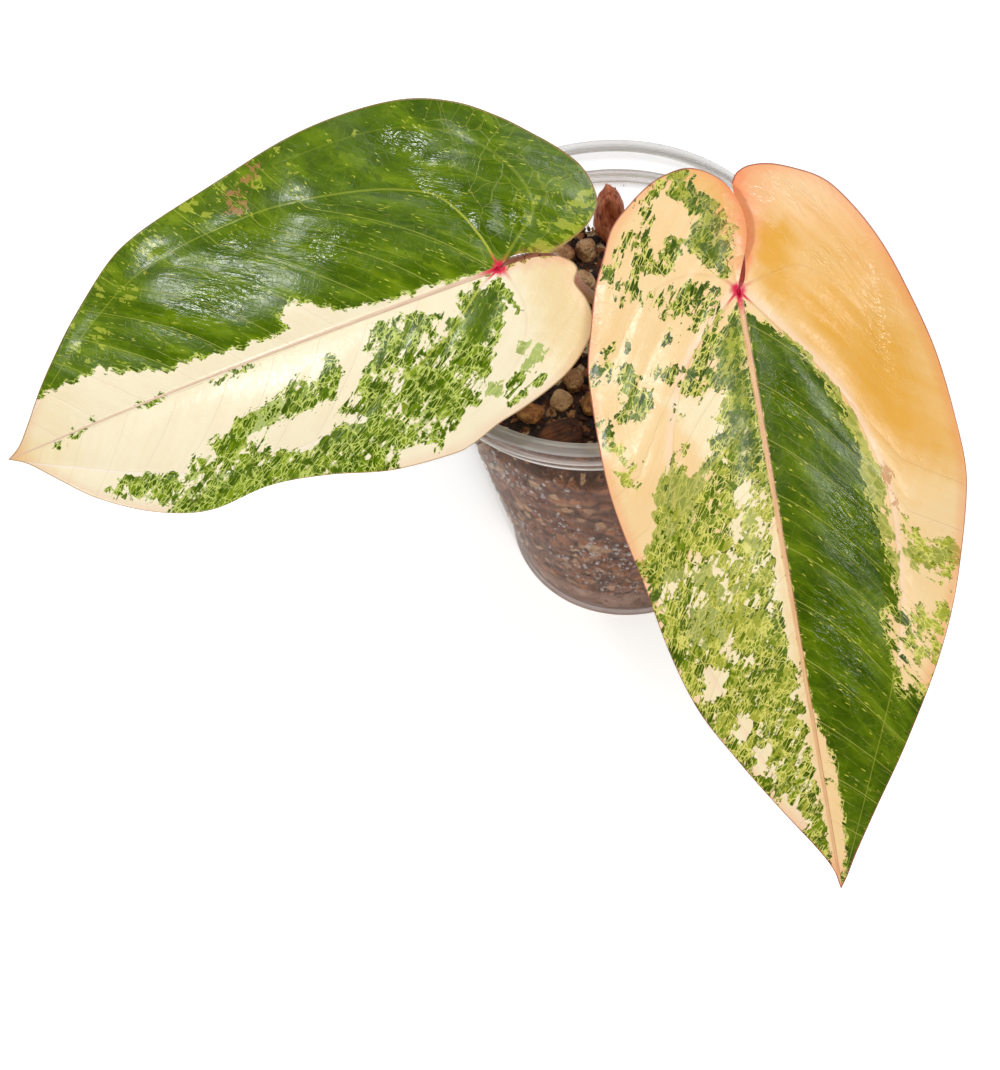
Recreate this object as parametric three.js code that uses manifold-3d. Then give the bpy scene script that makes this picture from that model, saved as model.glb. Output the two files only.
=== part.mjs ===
// Young variegated anthurium papillilaminum with two pendant leaves, growing in a clear tapered cup.
// Millimetres, +Z up. The origin is the middle of the cup's flat base; -Y is the side that both
// blades face.

import * as THREE from 'three';
import { mergeVertices } from 'three/addons/utils/BufferGeometryUtils.js';
import Module from 'manifold-3d';

const wasm = await Module();
wasm.setup();

// Driving dimensions

const seatGap = 0.3;

const cup = {
  height: 107,
  rimRadius: 49,
  mouthRadius: 45,
  skirtHeight: 4.4,
  shoulderDrop: 9.7,
  shoulderRadius: 46.8,
  neckDrop: 11.2,
  neckRadius: 43.9,
  baseRadius: 34.2,
  footHeight: 2.4,
  wall: 1.0,
  floor: 1.2,
  drainHoles: 5,
  drainHoleRadius: 1.9,
  drainHoleCircle: 20,
  segments: 56,
};

const drainage = { bottom: cup.floor + seatGap, top: 12 };

// The soil's top rolls in long swells with short knobs on them, and mounds up round the stem.
const soil = {
  bottom: drainage.top + seatGap,
  top: 79.4,
  edgeDrop: 2.5,
  swell: 1.2,
  swellPitch: 34,
  knob: 0.5,
  knobPitch: 13,
  mound: 1.6,
  moundRadius: 14,
  sides: 44,
  rings: 7,
  lumps: 46,
  lumpRadius: [1.6, 3.2],
  lumpReach: 37.5,
};

const stem = {
  x: 3,
  y: 0,
  crown: 94,
  crownRadius: 5.7,
  sides: 12,
  // height of each ring and its radius: buried foot, soil line and two swollen leaf scars
  rings: [[58, 2.6], [63, 4.6], [72, 5.4], [80, 5.8], [83.5, 6.3], [85.5, 5.5], [89, 6.2], [91, 5.5]],
};

const roots = {
  count: 6, start: 74, radius: 1.7, tipRadius: 0.9, reach: 24, depth: 34, sides: 6, steps: 8,
};

const petiole = {
  baseRadius: 2.3, midRadius: 1.65, kneeRadius: 2.05, tipRadius: 1.45, sides: 10, steps: 30,
};

const blade = {
  thickness: 0.8, raysPerSide: 44, levels: 6, creaseWidth: 7, halfWidth: 40, ripplePitch: 43,
};

// A leaf lies on a plane through its junction. `axis` points at the tip and `face` out of the upper
// side. Outline points are [along the axis, across it], from the sinus round one side to the tip.
// `arch` lifts the middle of the midrib, `crease` the blade beside it, `dome` lowers the margins and
// `ripple` waves them.
// `bow` bends the two edges of the sinus sideways, and `lift` raises them.
const leafLeft = {
  junction: [-20.9, -23.6, 150],
  axis: [-0.957, -0.039, -0.286],
  face: [-0.191, -0.658, 0.729],
  length: 131,
  arch: 5,
  crease: 2,
  dome: 5,
  ripple: 1.4,
  sides: [
    {
      bow: -1.8,
      bowPeak: 0.7,
      lift: 0,
      outline: [[-11.5, 1], [-16.5, 0], [-21.5, -2], [-25, -5.5], [-25.5, -10], [-24.5, -14.5],
        [-21.5, -19.5], [-17, -25], [-11.5, -31], [-3.5, -37.5], [7.5, -42.5], [21, -44.5], [37, -44],
        [57.5, -41], [77, -37], [87.5, -33], [99, -25.5], [107.5, -18.5], [114.5, -12.5],
        [121.5, -6], [126.5, -2], [131, 0]],
    },
    {
      bow: -0.9,
      bowPeak: 1.2,
      lift: 0,
      outline: [[-13.5, 2.5], [-15.5, 4.5], [-16, 6.5], [-14.5, 9], [-15.5, 13], [-15.5, 17],
        [-14, 20.5], [-10.5, 24], [-6, 27], [-1, 29], [6, 31], [13, 32.5], [21, 35], [26.5, 35.5],
        [39.5, 34], [53.5, 30], [69, 27.5], [85, 28], [99.5, 23.5], [111, 16.5], [119, 9],
        [125.5, 3], [131, 0]],
    },
  ],
};

const leafRight = {
  junction: [29.8, -41.1, 152],
  axis: [0.04, -0.74, -0.672],
  face: [-0.065, -0.673, 0.737],
  length: 138.5,
  arch: 7,
  crease: 2,
  dome: 5,
  ripple: 1,
  sides: [
    {
      bow: 2.8,
      bowPeak: 1.3,
      lift: 1.2,
      outline: [[-21.5, 2], [-24, 0], [-26.5, -3.5], [-27.5, -7], [-27, -11], [-25.5, -15],
        [-22.5, -19.5], [-18, -24.5], [-12, -27.5], [-5.5, -30.5], [3, -33], [10.5, -35],
        [17.5, -35.5], [28, -35.5], [38.5, -35], [48.5, -33.5], [60.5, -31], [76.5, -28],
        [90.5, -24], [103, -17.5], [117, -9.5], [126.5, -4], [133, -1], [138.5, 0]],
    },
    {
      bow: 1.9,
      bowPeak: 0.5,
      lift: -2.2,
      outline: [[-22.5, 2.5], [-24.5, 4], [-25.5, 7], [-25, 11.5], [-23, 16.5], [-20.5, 21],
        [-17, 24.5], [-10, 29], [-2.5, 32.5], [6.5, 35.5], [17, 38.5], [25, 40], [34.5, 41],
        [45, 41.5], [53, 40.5], [65.5, 37.5], [76, 34], [89, 28], [105.5, 19], [118.5, 11],
        [129, 5], [135, 2], [138.5, 0]],
    },
  ],
};

// Each petiole leaves the crown, arches up, and reaches its blade from under the sinus. `rise` is
// in object coordinates; `knee` is [along, across, above] in the leaf's own directions.
const petioleLeftRoute = {
  rise: [[0.4, 0.4, stem.crown + seatGap], [0.3, -0.2, 99], [-0.7, -4.5, 109], [-2.4, -12.5, 121],
    [-4.3, -18, 132], [-6.2, -20, 140.5]],
  knee: [[-9, 1.6, -6], [-4.6, 0.9, -5.4], [-1.4, 0.3, -4], [-0.2, 0, -2.4], [0, 0, -1]],
};

const petioleRightRoute = {
  rise: [[5.7, -0.4, stem.crown + seatGap], [5.9, -0.3, 99], [8.5, 0.8, 111], [14, 0, 126],
    [21.5, -6, 141], [28, -17, 150.5]],
  knee: [[-13, 0.6, -9.5], [-7.5, 0.9, -7], [-3.6, 0.6, -5.8], [-1, 0.2, -3.8], [-0.2, 0, -2.2],
    [0, 0, -1]],
};

// Loose pieces that show on the soil. Bark: place, length, width, thickness, turn about Z, lean.
const barkChips = [
  { name: 'bark_chip_tall', at: [6, 37, 89.5], size: [25, 9, 4], turn: 92, lean: 85 },
  { name: 'bark_chip_flat', at: [-14.2, -24.5, 82.2], size: [13, 9, 3.4], turn: 8, lean: 8 },
  { name: 'bark_chip_amber', at: [-5.5, -16.5, 82], size: [8, 6, 2.6], turn: 60, lean: 25 },
  { name: 'bark_chip_tan', at: [-21.5, -16.5, 82.2], size: [8.5, 6, 2.8], turn: -35, lean: 18 },
  { name: 'bark_chip_left', at: [-29, 8, 82], size: [14, 8, 3.2], turn: 110, lean: 12 },
  { name: 'bark_chip_rear', at: [-17, 27, 82], size: [12, 7, 3.2], turn: -20, lean: 15 },
  { name: 'bark_chip_right', at: [28, 13, 82], size: [13, 8, 3.4], turn: 65, lean: 14 },
  { name: 'bark_chip_front', at: [20, -27, 82], size: [12, 8, 3], turn: -25, lean: 10 },
];

// Pumice: place and radius.
const pumicePebbles = [
  { at: [-8.2, 32.6, 81.6], radius: 3.3 },
  { at: [-1.6, 33.6, 81.4], radius: 3.1 },
  { at: [-3.6, 22.8, 81.6], radius: 3.4 },
  { at: [-13.2, -13.8, 81.6], radius: 2.7 },
  { at: [-9.4, -8.2, 81.6], radius: 2.9 },
  { at: [-30.5, -9, 81.4], radius: 2.8 },
  { at: [15.5, 24, 81.6], radius: 3 },
  { at: [31, -7, 81.4], radius: 2.9 },
  { at: [6, -33, 81.4], radius: 2.8 },
];

// Finishes

const finish = (color, roughness, extra = {}) => new THREE.MeshStandardMaterial({
  color, roughness, metalness: 0, ...extra,
});
const clearPlastic = finish('#e9edf0', 0.12, { transparent: true, opacity: 0.35 });
const darkSoil = finish('#2a1a12', 0.95);
const palePumice = finish('#b9a48f', 0.9);
const redBark = finish('#7c3a22', 0.85);
const stemGreen = finish('#6f7a3c', 0.6);
const petiolePink = finish('#a65a44', 0.45);
const leafGreenCream = finish('#5f8a2c', 0.35);
const leafPeachGreen = finish('#d9b26e', 0.35);

// Solids

function seededRandom(seed) {
  let state = seed;
  return () => {
    state = (state * 1664525 + 1013904223) % 4294967296;
    return state / 4294967296;
  };
}

function weld(geometry) {
  const bare = geometry.clone();
  bare.deleteAttribute('normal');
  bare.deleteAttribute('uv');
  const merged = mergeVertices(bare, 1e-4);
  const corners = merged.index.array;
  const kept = [];
  for (let i = 0; i < corners.length; i += 3) {
    const [a, b, c] = [corners[i], corners[i + 1], corners[i + 2]];
    if (a !== b && b !== c && c !== a) kept.push(a, b, c);
  }
  merged.setIndex(kept);
  return merged;
}

function toSolid(geometry) {
  const welded = weld(geometry);
  return new wasm.Manifold(new wasm.Mesh({
    numProp: 3,
    vertProperties: new Float32Array(welded.getAttribute('position').array),
    triVerts: new Uint32Array(welded.index.array),
  }));
}

function toGeometry(solid) {
  const mesh = solid.getMesh();
  return indexed(Array.from(mesh.vertProperties), Array.from(mesh.triVerts));
}

function indexed(positions, corners) {
  const geometry = new THREE.BufferGeometry();
  geometry.setAttribute('position', new THREE.Float32BufferAttribute(positions, 3));
  geometry.setIndex(corners);
  geometry.computeVertexNormals();
  return geometry;
}

// A profile of [radius, height] points turned about the Z axis.
function turned(profile, segments) {
  const points = profile.map(([radius, height]) => new THREE.Vector2(radius, height));
  return new THREE.LatheGeometry(points, segments).rotateX(Math.PI / 2);
}

// Rings of equal point count joined in order, with a fan over each end. Rings run anticlockwise
// seen from the far end.
function lofted(rings) {
  const count = rings[0].length;
  const positions = rings.flatMap((ring) => ring.flatMap((point) => point.toArray()));
  const corners = [];
  for (let r = 0; r + 1 < rings.length; r += 1) {
    for (let i = 0; i < count; i += 1) {
      const a = r * count + i;
      const b = r * count + ((i + 1) % count);
      corners.push(a, b, b + count, a, b + count, a + count);
    }
  }
  for (const [ring, outward] of [[0, false], [rings.length - 1, true]]) {
    const centre = new THREE.Vector3();
    rings[ring].forEach((point) => centre.addScaledVector(point, 1 / count));
    const hub = positions.length / 3;
    positions.push(...centre.toArray());
    for (let i = 0; i < count; i += 1) {
      const a = ring * count + i;
      const b = ring * count + ((i + 1) % count);
      corners.push(...(outward ? [a, b, hub] : [b, a, hub]));
    }
  }
  return indexed(positions, corners);
}

// A round tube along a curve. radiusAt takes the fraction of the length.
function tapered(curve, radiusAt, sides, steps) {
  const frames = curve.computeFrenetFrames(steps, false);
  const rings = [];
  for (let s = 0; s <= steps; s += 1) {
    const centre = curve.getPointAt(s / steps);
    const radius = radiusAt(s / steps);
    const ring = [];
    for (let i = 0; i < sides; i += 1) {
      const turn = (2 * Math.PI * i) / sides;
      ring.push(centre.clone()
        .addScaledVector(frames.normals[s], radius * Math.cos(turn))
        .addScaledVector(frames.binormals[s], radius * Math.sin(turn)));
    }
    rings.push(ring);
  }
  return lofted(rings);
}

const smooth = THREE.MathUtils.smoothstep;
const mix = THREE.MathUtils.lerp;

// Cup

function cupInnerRadius(z) {
  const neck = cup.height - cup.neckDrop;
  const rise = (z - cup.footHeight) / (neck - cup.footHeight);
  return mix(cup.baseRadius, cup.neckRadius, rise) - cup.wall;
}

function makeCup() {
  const { height, rimRadius, mouthRadius, baseRadius, footHeight, wall, floor } = cup;
  const skirt = height - cup.skirtHeight;
  const shoulder = height - cup.shoulderDrop;
  const neck = height - cup.neckDrop;
  const profile = [
    [0, 0], [baseRadius - 1.6, 0], [baseRadius - 0.5, 0.6], [baseRadius, footHeight],
    [cup.neckRadius, neck], [cup.shoulderRadius - 0.3, shoulder - 0.4],
    [cup.shoulderRadius, shoulder], [mouthRadius + wall, shoulder + 0.8],
    [mouthRadius + wall, skirt + 2.6], [rimRadius - wall, skirt + 2.6], [rimRadius - wall, skirt],
    [rimRadius, skirt], [rimRadius, height - 0.7], [rimRadius - 0.7, height],
    [mouthRadius + 0.5, height], [mouthRadius, height - 0.5], [mouthRadius, shoulder + 0.2],
    [mouthRadius - 0.4, shoulder - 0.3], [cup.neckRadius - wall, neck],
    [baseRadius - wall, footHeight], [baseRadius - wall - 1, floor], [0, floor],
  ];
  let solid = toSolid(turned(profile, cup.segments));
  for (let i = 0; i < cup.drainHoles; i += 1) {
    const turn = (2 * Math.PI * i) / cup.drainHoles;
    const hole = new THREE.CylinderGeometry(cup.drainHoleRadius, cup.drainHoleRadius, 4, 12)
      .rotateX(Math.PI / 2)
      .translate(cup.drainHoleCircle * Math.cos(turn), cup.drainHoleCircle * Math.sin(turn), 0.6);
    solid = solid.subtract(toSolid(hole));
  }
  return toGeometry(solid);
}

// Drainage layer: pale pumice, its rounded edge following the cup's foot.
function makeDrainage() {
  const radius = (z) => cupInnerRadius(z) - seatGap;
  const { bottom, top } = drainage;
  const foot = cup.footHeight + 0.6;
  return turned([
    [0, bottom], [radius(foot) - 1.4, bottom], [radius(foot), foot], [radius(top - 1), top - 1],
    [radius(top) - 1, top], [0, top],
  ], cup.segments);
}

// Stem with its roots

// `grow` widens a solid all round, for the seat that it leaves in the soil.
function stemBody(grow) {
  const rings = [...stem.rings, [stem.crown, stem.crownRadius]].map(([height, radius], index) => (
    Array.from({ length: stem.sides }, (_, i) => {
      const turn = (2 * Math.PI * i) / stem.sides;
      return new THREE.Vector3(
        stem.x + (radius + grow) * Math.cos(turn),
        stem.y + (radius + grow) * Math.sin(turn),
        index === 0 ? height - grow : height,
      );
    })
  ));
  return toSolid(lofted(rings));
}

function rootBody(index, grow) {
  const random = seededRandom(31 + index * 17);
  const turn = (2 * Math.PI * (index + 0.3 * random())) / roots.count;
  const reach = roots.reach * mix(0.6, 1, random());
  const depth = roots.depth * mix(0.7, 1, random());
  const out = new THREE.Vector3(Math.cos(turn), Math.sin(turn), 0);
  const start = new THREE.Vector3(stem.x, stem.y, roots.start - 2 * (index % 3));
  const curve = new THREE.CatmullRomCurve3([
    start,
    start.clone().addScaledVector(out, 0.35 * reach).setZ(start.z - 0.12 * depth),
    start.clone().addScaledVector(out, 0.75 * reach).setZ(start.z - 0.45 * depth),
    start.clone().addScaledVector(out, reach).setZ(start.z - depth),
  ]);
  const radiusAt = (along) => mix(roots.radius, roots.tipRadius, along) + grow;
  return toSolid(tapered(curve, radiusAt, roots.sides, roots.steps));
}

function stemSolid(grow) {
  let solid = stemBody(grow);
  for (let i = 0; i < roots.count; i += 1) solid = solid.add(rootBody(i, grow));
  return solid;
}

// Bark chips: a slab with a seven-cornered outline, narrowed at its two faces.
function barkSolid(chip, index, grow) {
  const random = seededRandom(101 + index * 13);
  const [length, width, thickness] = chip.size;
  const corners = 7;
  const reach = Array.from({ length: corners }, () => mix(0.78, 1.08, random()));
  const layers = [[-0.5, 0.86], [-0.28, 1], [0.22, 0.96], [0.5, 0.74]];
  const place = new THREE.Matrix4()
    .makeTranslation(...chip.at)
    .multiply(new THREE.Matrix4().makeRotationZ(THREE.MathUtils.degToRad(chip.turn)))
    .multiply(new THREE.Matrix4().makeRotationY(-THREE.MathUtils.degToRad(chip.lean)));
  const rings = layers.map(([level, spread]) => reach.map((share, i) => {
    const turn = (2 * Math.PI * i) / corners;
    return new THREE.Vector3(
      (0.5 * length * share * spread + grow) * Math.cos(turn),
      (0.5 * width * share * spread + grow) * Math.sin(turn),
      level * (thickness + 2 * grow),
    ).applyMatrix4(place);
  }));
  return toSolid(lofted(rings));
}

// Pumice pebbles and soil lumps: knobbly balls.
function pebbleSolid(at, radius, detail, seed) {
  const random = seededRandom(seed);
  const squash = [mix(0.85, 1.15, random()), mix(0.85, 1.15, random()), mix(0.75, 1, random())];
  const phase = [6 * random(), 6 * random(), 6 * random()];
  const geometry = weld(new THREE.IcosahedronGeometry(1, detail));
  const position = geometry.getAttribute('position');
  const point = new THREE.Vector3();
  for (let i = 0; i < position.count; i += 1) {
    point.fromBufferAttribute(position, i);
    const knobs = 1 + 0.1 * Math.sin(3.1 * point.x + phase[0]) * Math.sin(2.7 * point.y + phase[1])
      + 0.08 * Math.sin(4.3 * point.z + phase[2]);
    point.multiplyScalar(radius * knobs);
    position.setXYZ(i, point.x * squash[0], point.y * squash[1], point.z * squash[2]);
  }
  return toSolid(geometry.translate(...at));
}

// Soil: its rolling top, fused lumps of bark and pumice, and a plain seat for each loose piece.

function soilHeight(x, y) {
  const fromStem = Math.hypot(x - stem.x, y - stem.y);
  const turnsPer = (pitch) => (2 * Math.PI) / pitch;
  const swell = Math.sin(turnsPer(soil.swellPitch) * x + 1.1)
    * Math.cos(turnsPer(soil.swellPitch) * y - 0.4);
  const knob = Math.sin(turnsPer(soil.knobPitch) * (x + 0.8 * y));
  const mound = Math.exp(-((fromStem / soil.moundRadius) ** 2));
  return soil.top + soil.swell * swell + soil.knob * knob + soil.mound * mound;
}

function soilBody() {
  const radius = (z) => cupInnerRadius(z) - seatGap;
  const circle = (reach, heightAt) => Array.from({ length: soil.sides }, (_, i) => {
    const turn = (2 * Math.PI * i) / soil.sides;
    const [x, y] = [reach * Math.cos(turn), reach * Math.sin(turn)];
    return new THREE.Vector3(x, y, heightAt(x, y));
  });
  const edge = soil.top - soil.edgeDrop;
  const rings = [circle(radius(soil.bottom), () => soil.bottom), circle(radius(edge), () => edge)];
  for (let r = 0; r < soil.rings; r += 1) {
    const share = 1 - r / soil.rings;
    rings.push(circle((radius(soil.top) - 0.4) * share, soilHeight));
  }
  return toSolid(lofted(rings));
}

function lumpPlaces() {
  const random = seededRandom(7);
  const taken = [
    ...barkChips.map((chip) => [chip.at[0], chip.at[1], 0.5 * chip.size[0]]),
    ...pumicePebbles.map((pebble) => [pebble.at[0], pebble.at[1], pebble.radius]),
    [stem.x, stem.y, 8],
  ];
  const places = [];
  for (let tries = 0; places.length < soil.lumps && tries < 4000; tries += 1) {
    const reach = soil.lumpReach * Math.sqrt(random());
    const turn = 2 * Math.PI * random();
    const radius = mix(...soil.lumpRadius, random());
    const [x, y] = [reach * Math.cos(turn), reach * Math.sin(turn)];
    const clear = taken.every(([tx, ty, tr]) => Math.hypot(x - tx, y - ty) > tr + radius + 0.6);
    if (clear) {
      places.push({ at: [x, y, soilHeight(x, y) + 0.25 * radius], radius });
      taken.push([x, y, 0.5 * radius]);
    }
  }
  return places;
}

function makeSoil() {
  let solid = soilBody();
  lumpPlaces().forEach((lump, i) => {
    solid = solid.add(pebbleSolid(lump.at, lump.radius, 0, 500 + i));
  });
  solid = solid.subtract(stemSolid(seatGap));
  barkChips.forEach((chip, i) => {
    solid = solid.subtract(barkSolid(chip, i, seatGap));
  });
  pumicePebbles.forEach((pebble, i) => {
    solid = solid.subtract(pebbleSolid(pebble.at, pebble.radius + 1.3 * seatGap, 1, 300 + i));
  });
  return toGeometry(solid);
}

// Leaves

class Leaf {
  constructor(spec) {
    this.spec = spec;
    this.origin = new THREE.Vector3(...spec.junction);
    this.along = new THREE.Vector3(...spec.axis).normalize();
    this.up = new THREE.Vector3(...spec.face);
    this.up.addScaledVector(this.along, -this.up.dot(this.along)).normalize();
    this.across = new THREE.Vector3().crossVectors(this.up, this.along);
  }

  // A place given along the axis, across it, and above the leaf's plane.
  place(u, v, w) {
    return this.origin.clone()
      .addScaledVector(this.along, u)
      .addScaledVector(this.across, v)
      .addScaledVector(this.up, w);
  }

  // Height of the blade's middle sheet above the plane.
  height(u, v) {
    const { length, arch, crease, dome, ripple } = this.spec;
    const run = u / length;
    const out = Math.abs(v);
    const wave = Math.sin((2 * Math.PI * u) / blade.ripplePitch + (v > 0 ? 1.1 : 3.0))
      * smooth(out, blade.creaseWidth, blade.halfWidth);
    return 4 * arch * run * (1 - run) + crease * (1 - Math.exp(-out / blade.creaseWidth))
      - dome * (out / blade.halfWidth) ** 2 + ripple * wave;
  }

  // Rays from the junction to the margin, first side from sinus to tip and second side back.
  rays() {
    const count = blade.raysPerSide;
    const side = (data) => {
      const curve = new THREE.CatmullRomCurve3(
        data.outline.map(([u, v]) => new THREE.Vector3(u, v, 0)),
        false,
        'catmullrom',
      );
      const [u0, v0] = data.outline[0];
      return Array.from({ length: count + 1 }, (_, i) => {
        const end = curve.getPoint(i / count);
        const swing = Math.acos(THREE.MathUtils.clamp(
          (end.x * u0 + end.y * v0) / (Math.hypot(end.x, end.y) * Math.hypot(u0, v0)),
          -1,
          1,
        ));
        return { u: end.x, v: end.y, swing, data };
      });
    };
    const first = side(this.spec.sides[0]);
    const second = side(this.spec.sides[1]);
    return [...first, ...second.slice(0, -1).reverse()];
  }

  // A point of the middle sheet: [along, across, above]. The sinus edges bow aside and lift apart.
  sheet(ray, share) {
    const near = Math.exp(-((ray.swing / 0.5) ** 2));
    const u = ray.u * share;
    const v = ray.v * share + ray.data.bow * near * Math.sin(Math.PI * share ** ray.data.bowPeak);
    const lift = ray.data.lift * near * smooth(Math.hypot(u, v), 2, 12);
    return [u, v, this.height(u, v) + lift];
  }

  // The closed blade: both faces are split alike, a strip runs round the margin and the sinus.
  geometry() {
    const rays = this.rays();
    const positions = [];
    const half = 0.5 * blade.thickness;
    const perFace = 1 + rays.length * blade.levels;
    for (const offset of [half, -half]) {
      positions.push(...this.place(0, 0, offset).toArray());
      for (const ray of rays) {
        for (let level = 1; level <= blade.levels; level += 1) {
          const [u, v, w] = this.sheet(ray, level / blade.levels);
          positions.push(...this.place(u, v, w + offset).toArray());
        }
      }
    }
    const at = (ray, level) => (level === 0 ? 0 : 1 + ray * blade.levels + level - 1);
    const corners = [];
    const face = (a, b, c) => {
      corners.push(a, b, c);
      corners.push(a + perFace, c + perFace, b + perFace);
    };
    const wall = (a, b) => {
      corners.push(a, a + perFace, b + perFace);
      corners.push(a, b + perFace, b);
    };
    for (let r = 0; r + 1 < rays.length; r += 1) {
      face(0, at(r, 1), at(r + 1, 1));
      for (let level = 1; level < blade.levels; level += 1) {
        face(at(r, level), at(r, level + 1), at(r + 1, level + 1));
        face(at(r, level), at(r + 1, level + 1), at(r + 1, level));
      }
      wall(at(r, blade.levels), at(r + 1, blade.levels));
    }
    for (let level = 0; level < blade.levels; level += 1) {
      wall(at(0, level), at(0, level + 1));
      wall(at(rays.length - 1, level + 1), at(rays.length - 1, level));
    }
    return indexed(positions, corners);
  }
}

function makePetiole(route, leaf) {
  const points = [
    ...route.rise.map((point) => new THREE.Vector3(...point)),
    ...route.knee.map(([u, v, w]) => leaf.place(u, v, w)),
  ];
  const curve = new THREE.CatmullRomCurve3(points);
  const { baseRadius, midRadius, kneeRadius, tipRadius } = petiole;
  const radiusAt = (along) => {
    const shaft = mix(baseRadius, midRadius, smooth(along, 0, 0.25));
    const knee = mix(shaft, kneeRadius, smooth(along, 0.8, 0.9));
    return mix(knee, tipRadius, smooth(along, 0.95, 1));
  };
  return tapered(curve, radiusAt, petiole.sides, petiole.steps);
}

// Assembly

const plant = new THREE.Group();

function addPiece(name, geometry, material) {
  const mesh = new THREE.Mesh(geometry, material);
  mesh.name = name;
  plant.add(mesh);
}

const left = new Leaf(leafLeft);
const right = new Leaf(leafRight);

addPiece('pot', makeCup(), clearPlastic);
addPiece('drainage_layer', makeDrainage(), palePumice);
addPiece('substrate', makeSoil(), darkSoil);
addPiece('stem', toGeometry(stemSolid(0)), stemGreen);
barkChips.forEach((chip, i) => addPiece(chip.name, toGeometry(barkSolid(chip, i, 0)), redBark));
pumicePebbles.forEach((pebble, i) => {
  const solid = pebbleSolid(pebble.at, pebble.radius, 1, 300 + i);
  addPiece(`pumice_pebble_${i + 1}`, toGeometry(solid), palePumice);
});
addPiece('petiole_left', makePetiole(petioleLeftRoute, left), petiolePink);
addPiece('petiole_right', makePetiole(petioleRightRoute, right), petiolePink);
addPiece('leaf_left', left.geometry(), leafGreenCream);
addPiece('leaf_right', right.geometry(), leafPeachGreen);

export default plant;
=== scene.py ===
"""A young variegated anthurium in a clear cup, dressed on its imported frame.

Sizes are in millimetres, in the frame's own axes, until a mesh is written in metres. Each blade is
described on its own leaf plane: `along` the midrib from the petiole's junction to the tip, `across`
it, and `above` the plane on the upper side.
"""

from __future__ import annotations

import logging
import math
from collections.abc import Iterator
from dataclasses import dataclass, field
from enum import Enum

import bpy
import numpy as np
from mathutils import Matrix, Vector


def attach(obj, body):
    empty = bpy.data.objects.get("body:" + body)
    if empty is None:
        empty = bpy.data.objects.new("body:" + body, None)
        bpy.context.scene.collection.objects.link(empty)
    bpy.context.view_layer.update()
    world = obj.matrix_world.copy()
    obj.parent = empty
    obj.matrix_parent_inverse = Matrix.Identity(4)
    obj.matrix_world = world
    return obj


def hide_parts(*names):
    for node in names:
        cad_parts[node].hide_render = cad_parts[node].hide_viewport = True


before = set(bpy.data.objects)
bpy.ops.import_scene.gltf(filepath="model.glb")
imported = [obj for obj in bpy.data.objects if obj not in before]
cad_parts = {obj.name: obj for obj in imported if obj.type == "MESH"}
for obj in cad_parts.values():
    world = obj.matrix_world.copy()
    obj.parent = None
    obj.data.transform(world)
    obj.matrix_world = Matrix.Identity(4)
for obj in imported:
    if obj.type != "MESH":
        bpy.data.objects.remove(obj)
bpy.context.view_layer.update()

Array = np.ndarray
Socket = bpy.types.NodeSocket
Outputs = bpy.types.bpy_prop_collection
Colour = tuple[float, float, float, float]

MM = 0.001
BODY = "root"
NO_FACES = np.zeros((0, 3), np.int64)
STEM_X = 3.0
log = logging.getLogger("anthurium")


# Numbers and surfaces


def smoothstep(value: Array, low: float, high: float) -> Array:
    """Rises from 0 at low to 1 at high with flat ends."""
    part = np.clip((value - low) / (high - low), 0.0, 1.0)
    return part * part * (3.0 - 2.0 * part)


def blend(first: Array, second: Array, share: Array) -> Array:
    """The straight mix of first and second."""
    return first + (second - first) * share


def draws(seed: int) -> Iterator[float]:
    """A linear congruential run of numbers from 0 to 1, the one that placed the frame's solids.

    Args:
        seed: The run's first state.

    Returns:
        An endless iterator.
    """
    state = seed
    while True:
        state = (state * 1664525 + 1013904223) % 4294967296
        yield state / 4294967296


def lattice_draw(cells: Array, seed: int) -> Array:
    """One draw from 0 to 1 for each whole-numbered cell: its numbers are mixed by large factors.

    Args:
        cells: Whole numbers, one row for each cell.
        seed: Picks another set of draws.

    Returns:
        A draw for each row.
    """
    factors = np.array([73856093, 19349663, 83492791])[: cells.shape[-1]]
    mixed = (cells.astype(np.int64) * factors).sum(-1) + seed * 7919
    mixed = ((mixed ^ (mixed >> 13)) & 0xFFFFFFFF) * 1274126177
    mixed = mixed ^ (mixed >> 16)
    return (mixed & 0xFFFFFF) / 0xFFFFFF


def soft_noise(places: Array, pitch: float, seed: int) -> Array:
    """Value noise from -1 to 1: draws at the lattice corners, mixed by smooth weights.

    Args:
        places: Points in 2 or 3 dimensions.
        pitch: The lattice's step.
        seed: Picks another set of draws.

    Returns:
        A number for each point.
    """
    scaled = places / pitch
    base = np.floor(scaled)
    part = smoothstep(scaled - base, 0.0, 1.0)
    total = np.zeros(places.shape[:-1])
    for corner in np.ndindex(*(2,) * places.shape[-1]):
        step = np.array(corner)
        total += np.prod(np.where(step, part, 1.0 - part), -1) * lattice_draw(base + step, seed)
    return 2.0 * total - 1.0


def nearest_cell(places: Array, pitch: float, seed: int) -> tuple[Array, Array]:
    """Cell noise: each lattice cell holds one point at a drawn place.

    Args:
        places: Points in 2 or 3 dimensions.
        pitch: The lattice's step.
        seed: Picks another set of draws.

    Returns:
        The distance to the nearest point in pitches, and the draw of the cell that holds it.
    """
    scaled = places / pitch
    base = np.floor(scaled)
    best = np.full(places.shape[:-1], 9.0)
    drawn = np.zeros(places.shape[:-1])
    for corner in np.ndindex(*(3,) * places.shape[-1]):
        cell = base + np.array(corner) - 1
        shift = np.stack([lattice_draw(cell, seed + 11 + k) for k in range(places.shape[-1])], -1)
        distance = np.linalg.norm(scaled - cell - shift, axis=-1)
        closer = distance < best
        drawn = np.where(closer, lattice_draw(cell, seed), drawn)
        best = np.where(closer, distance, best)
    return best, drawn


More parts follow.
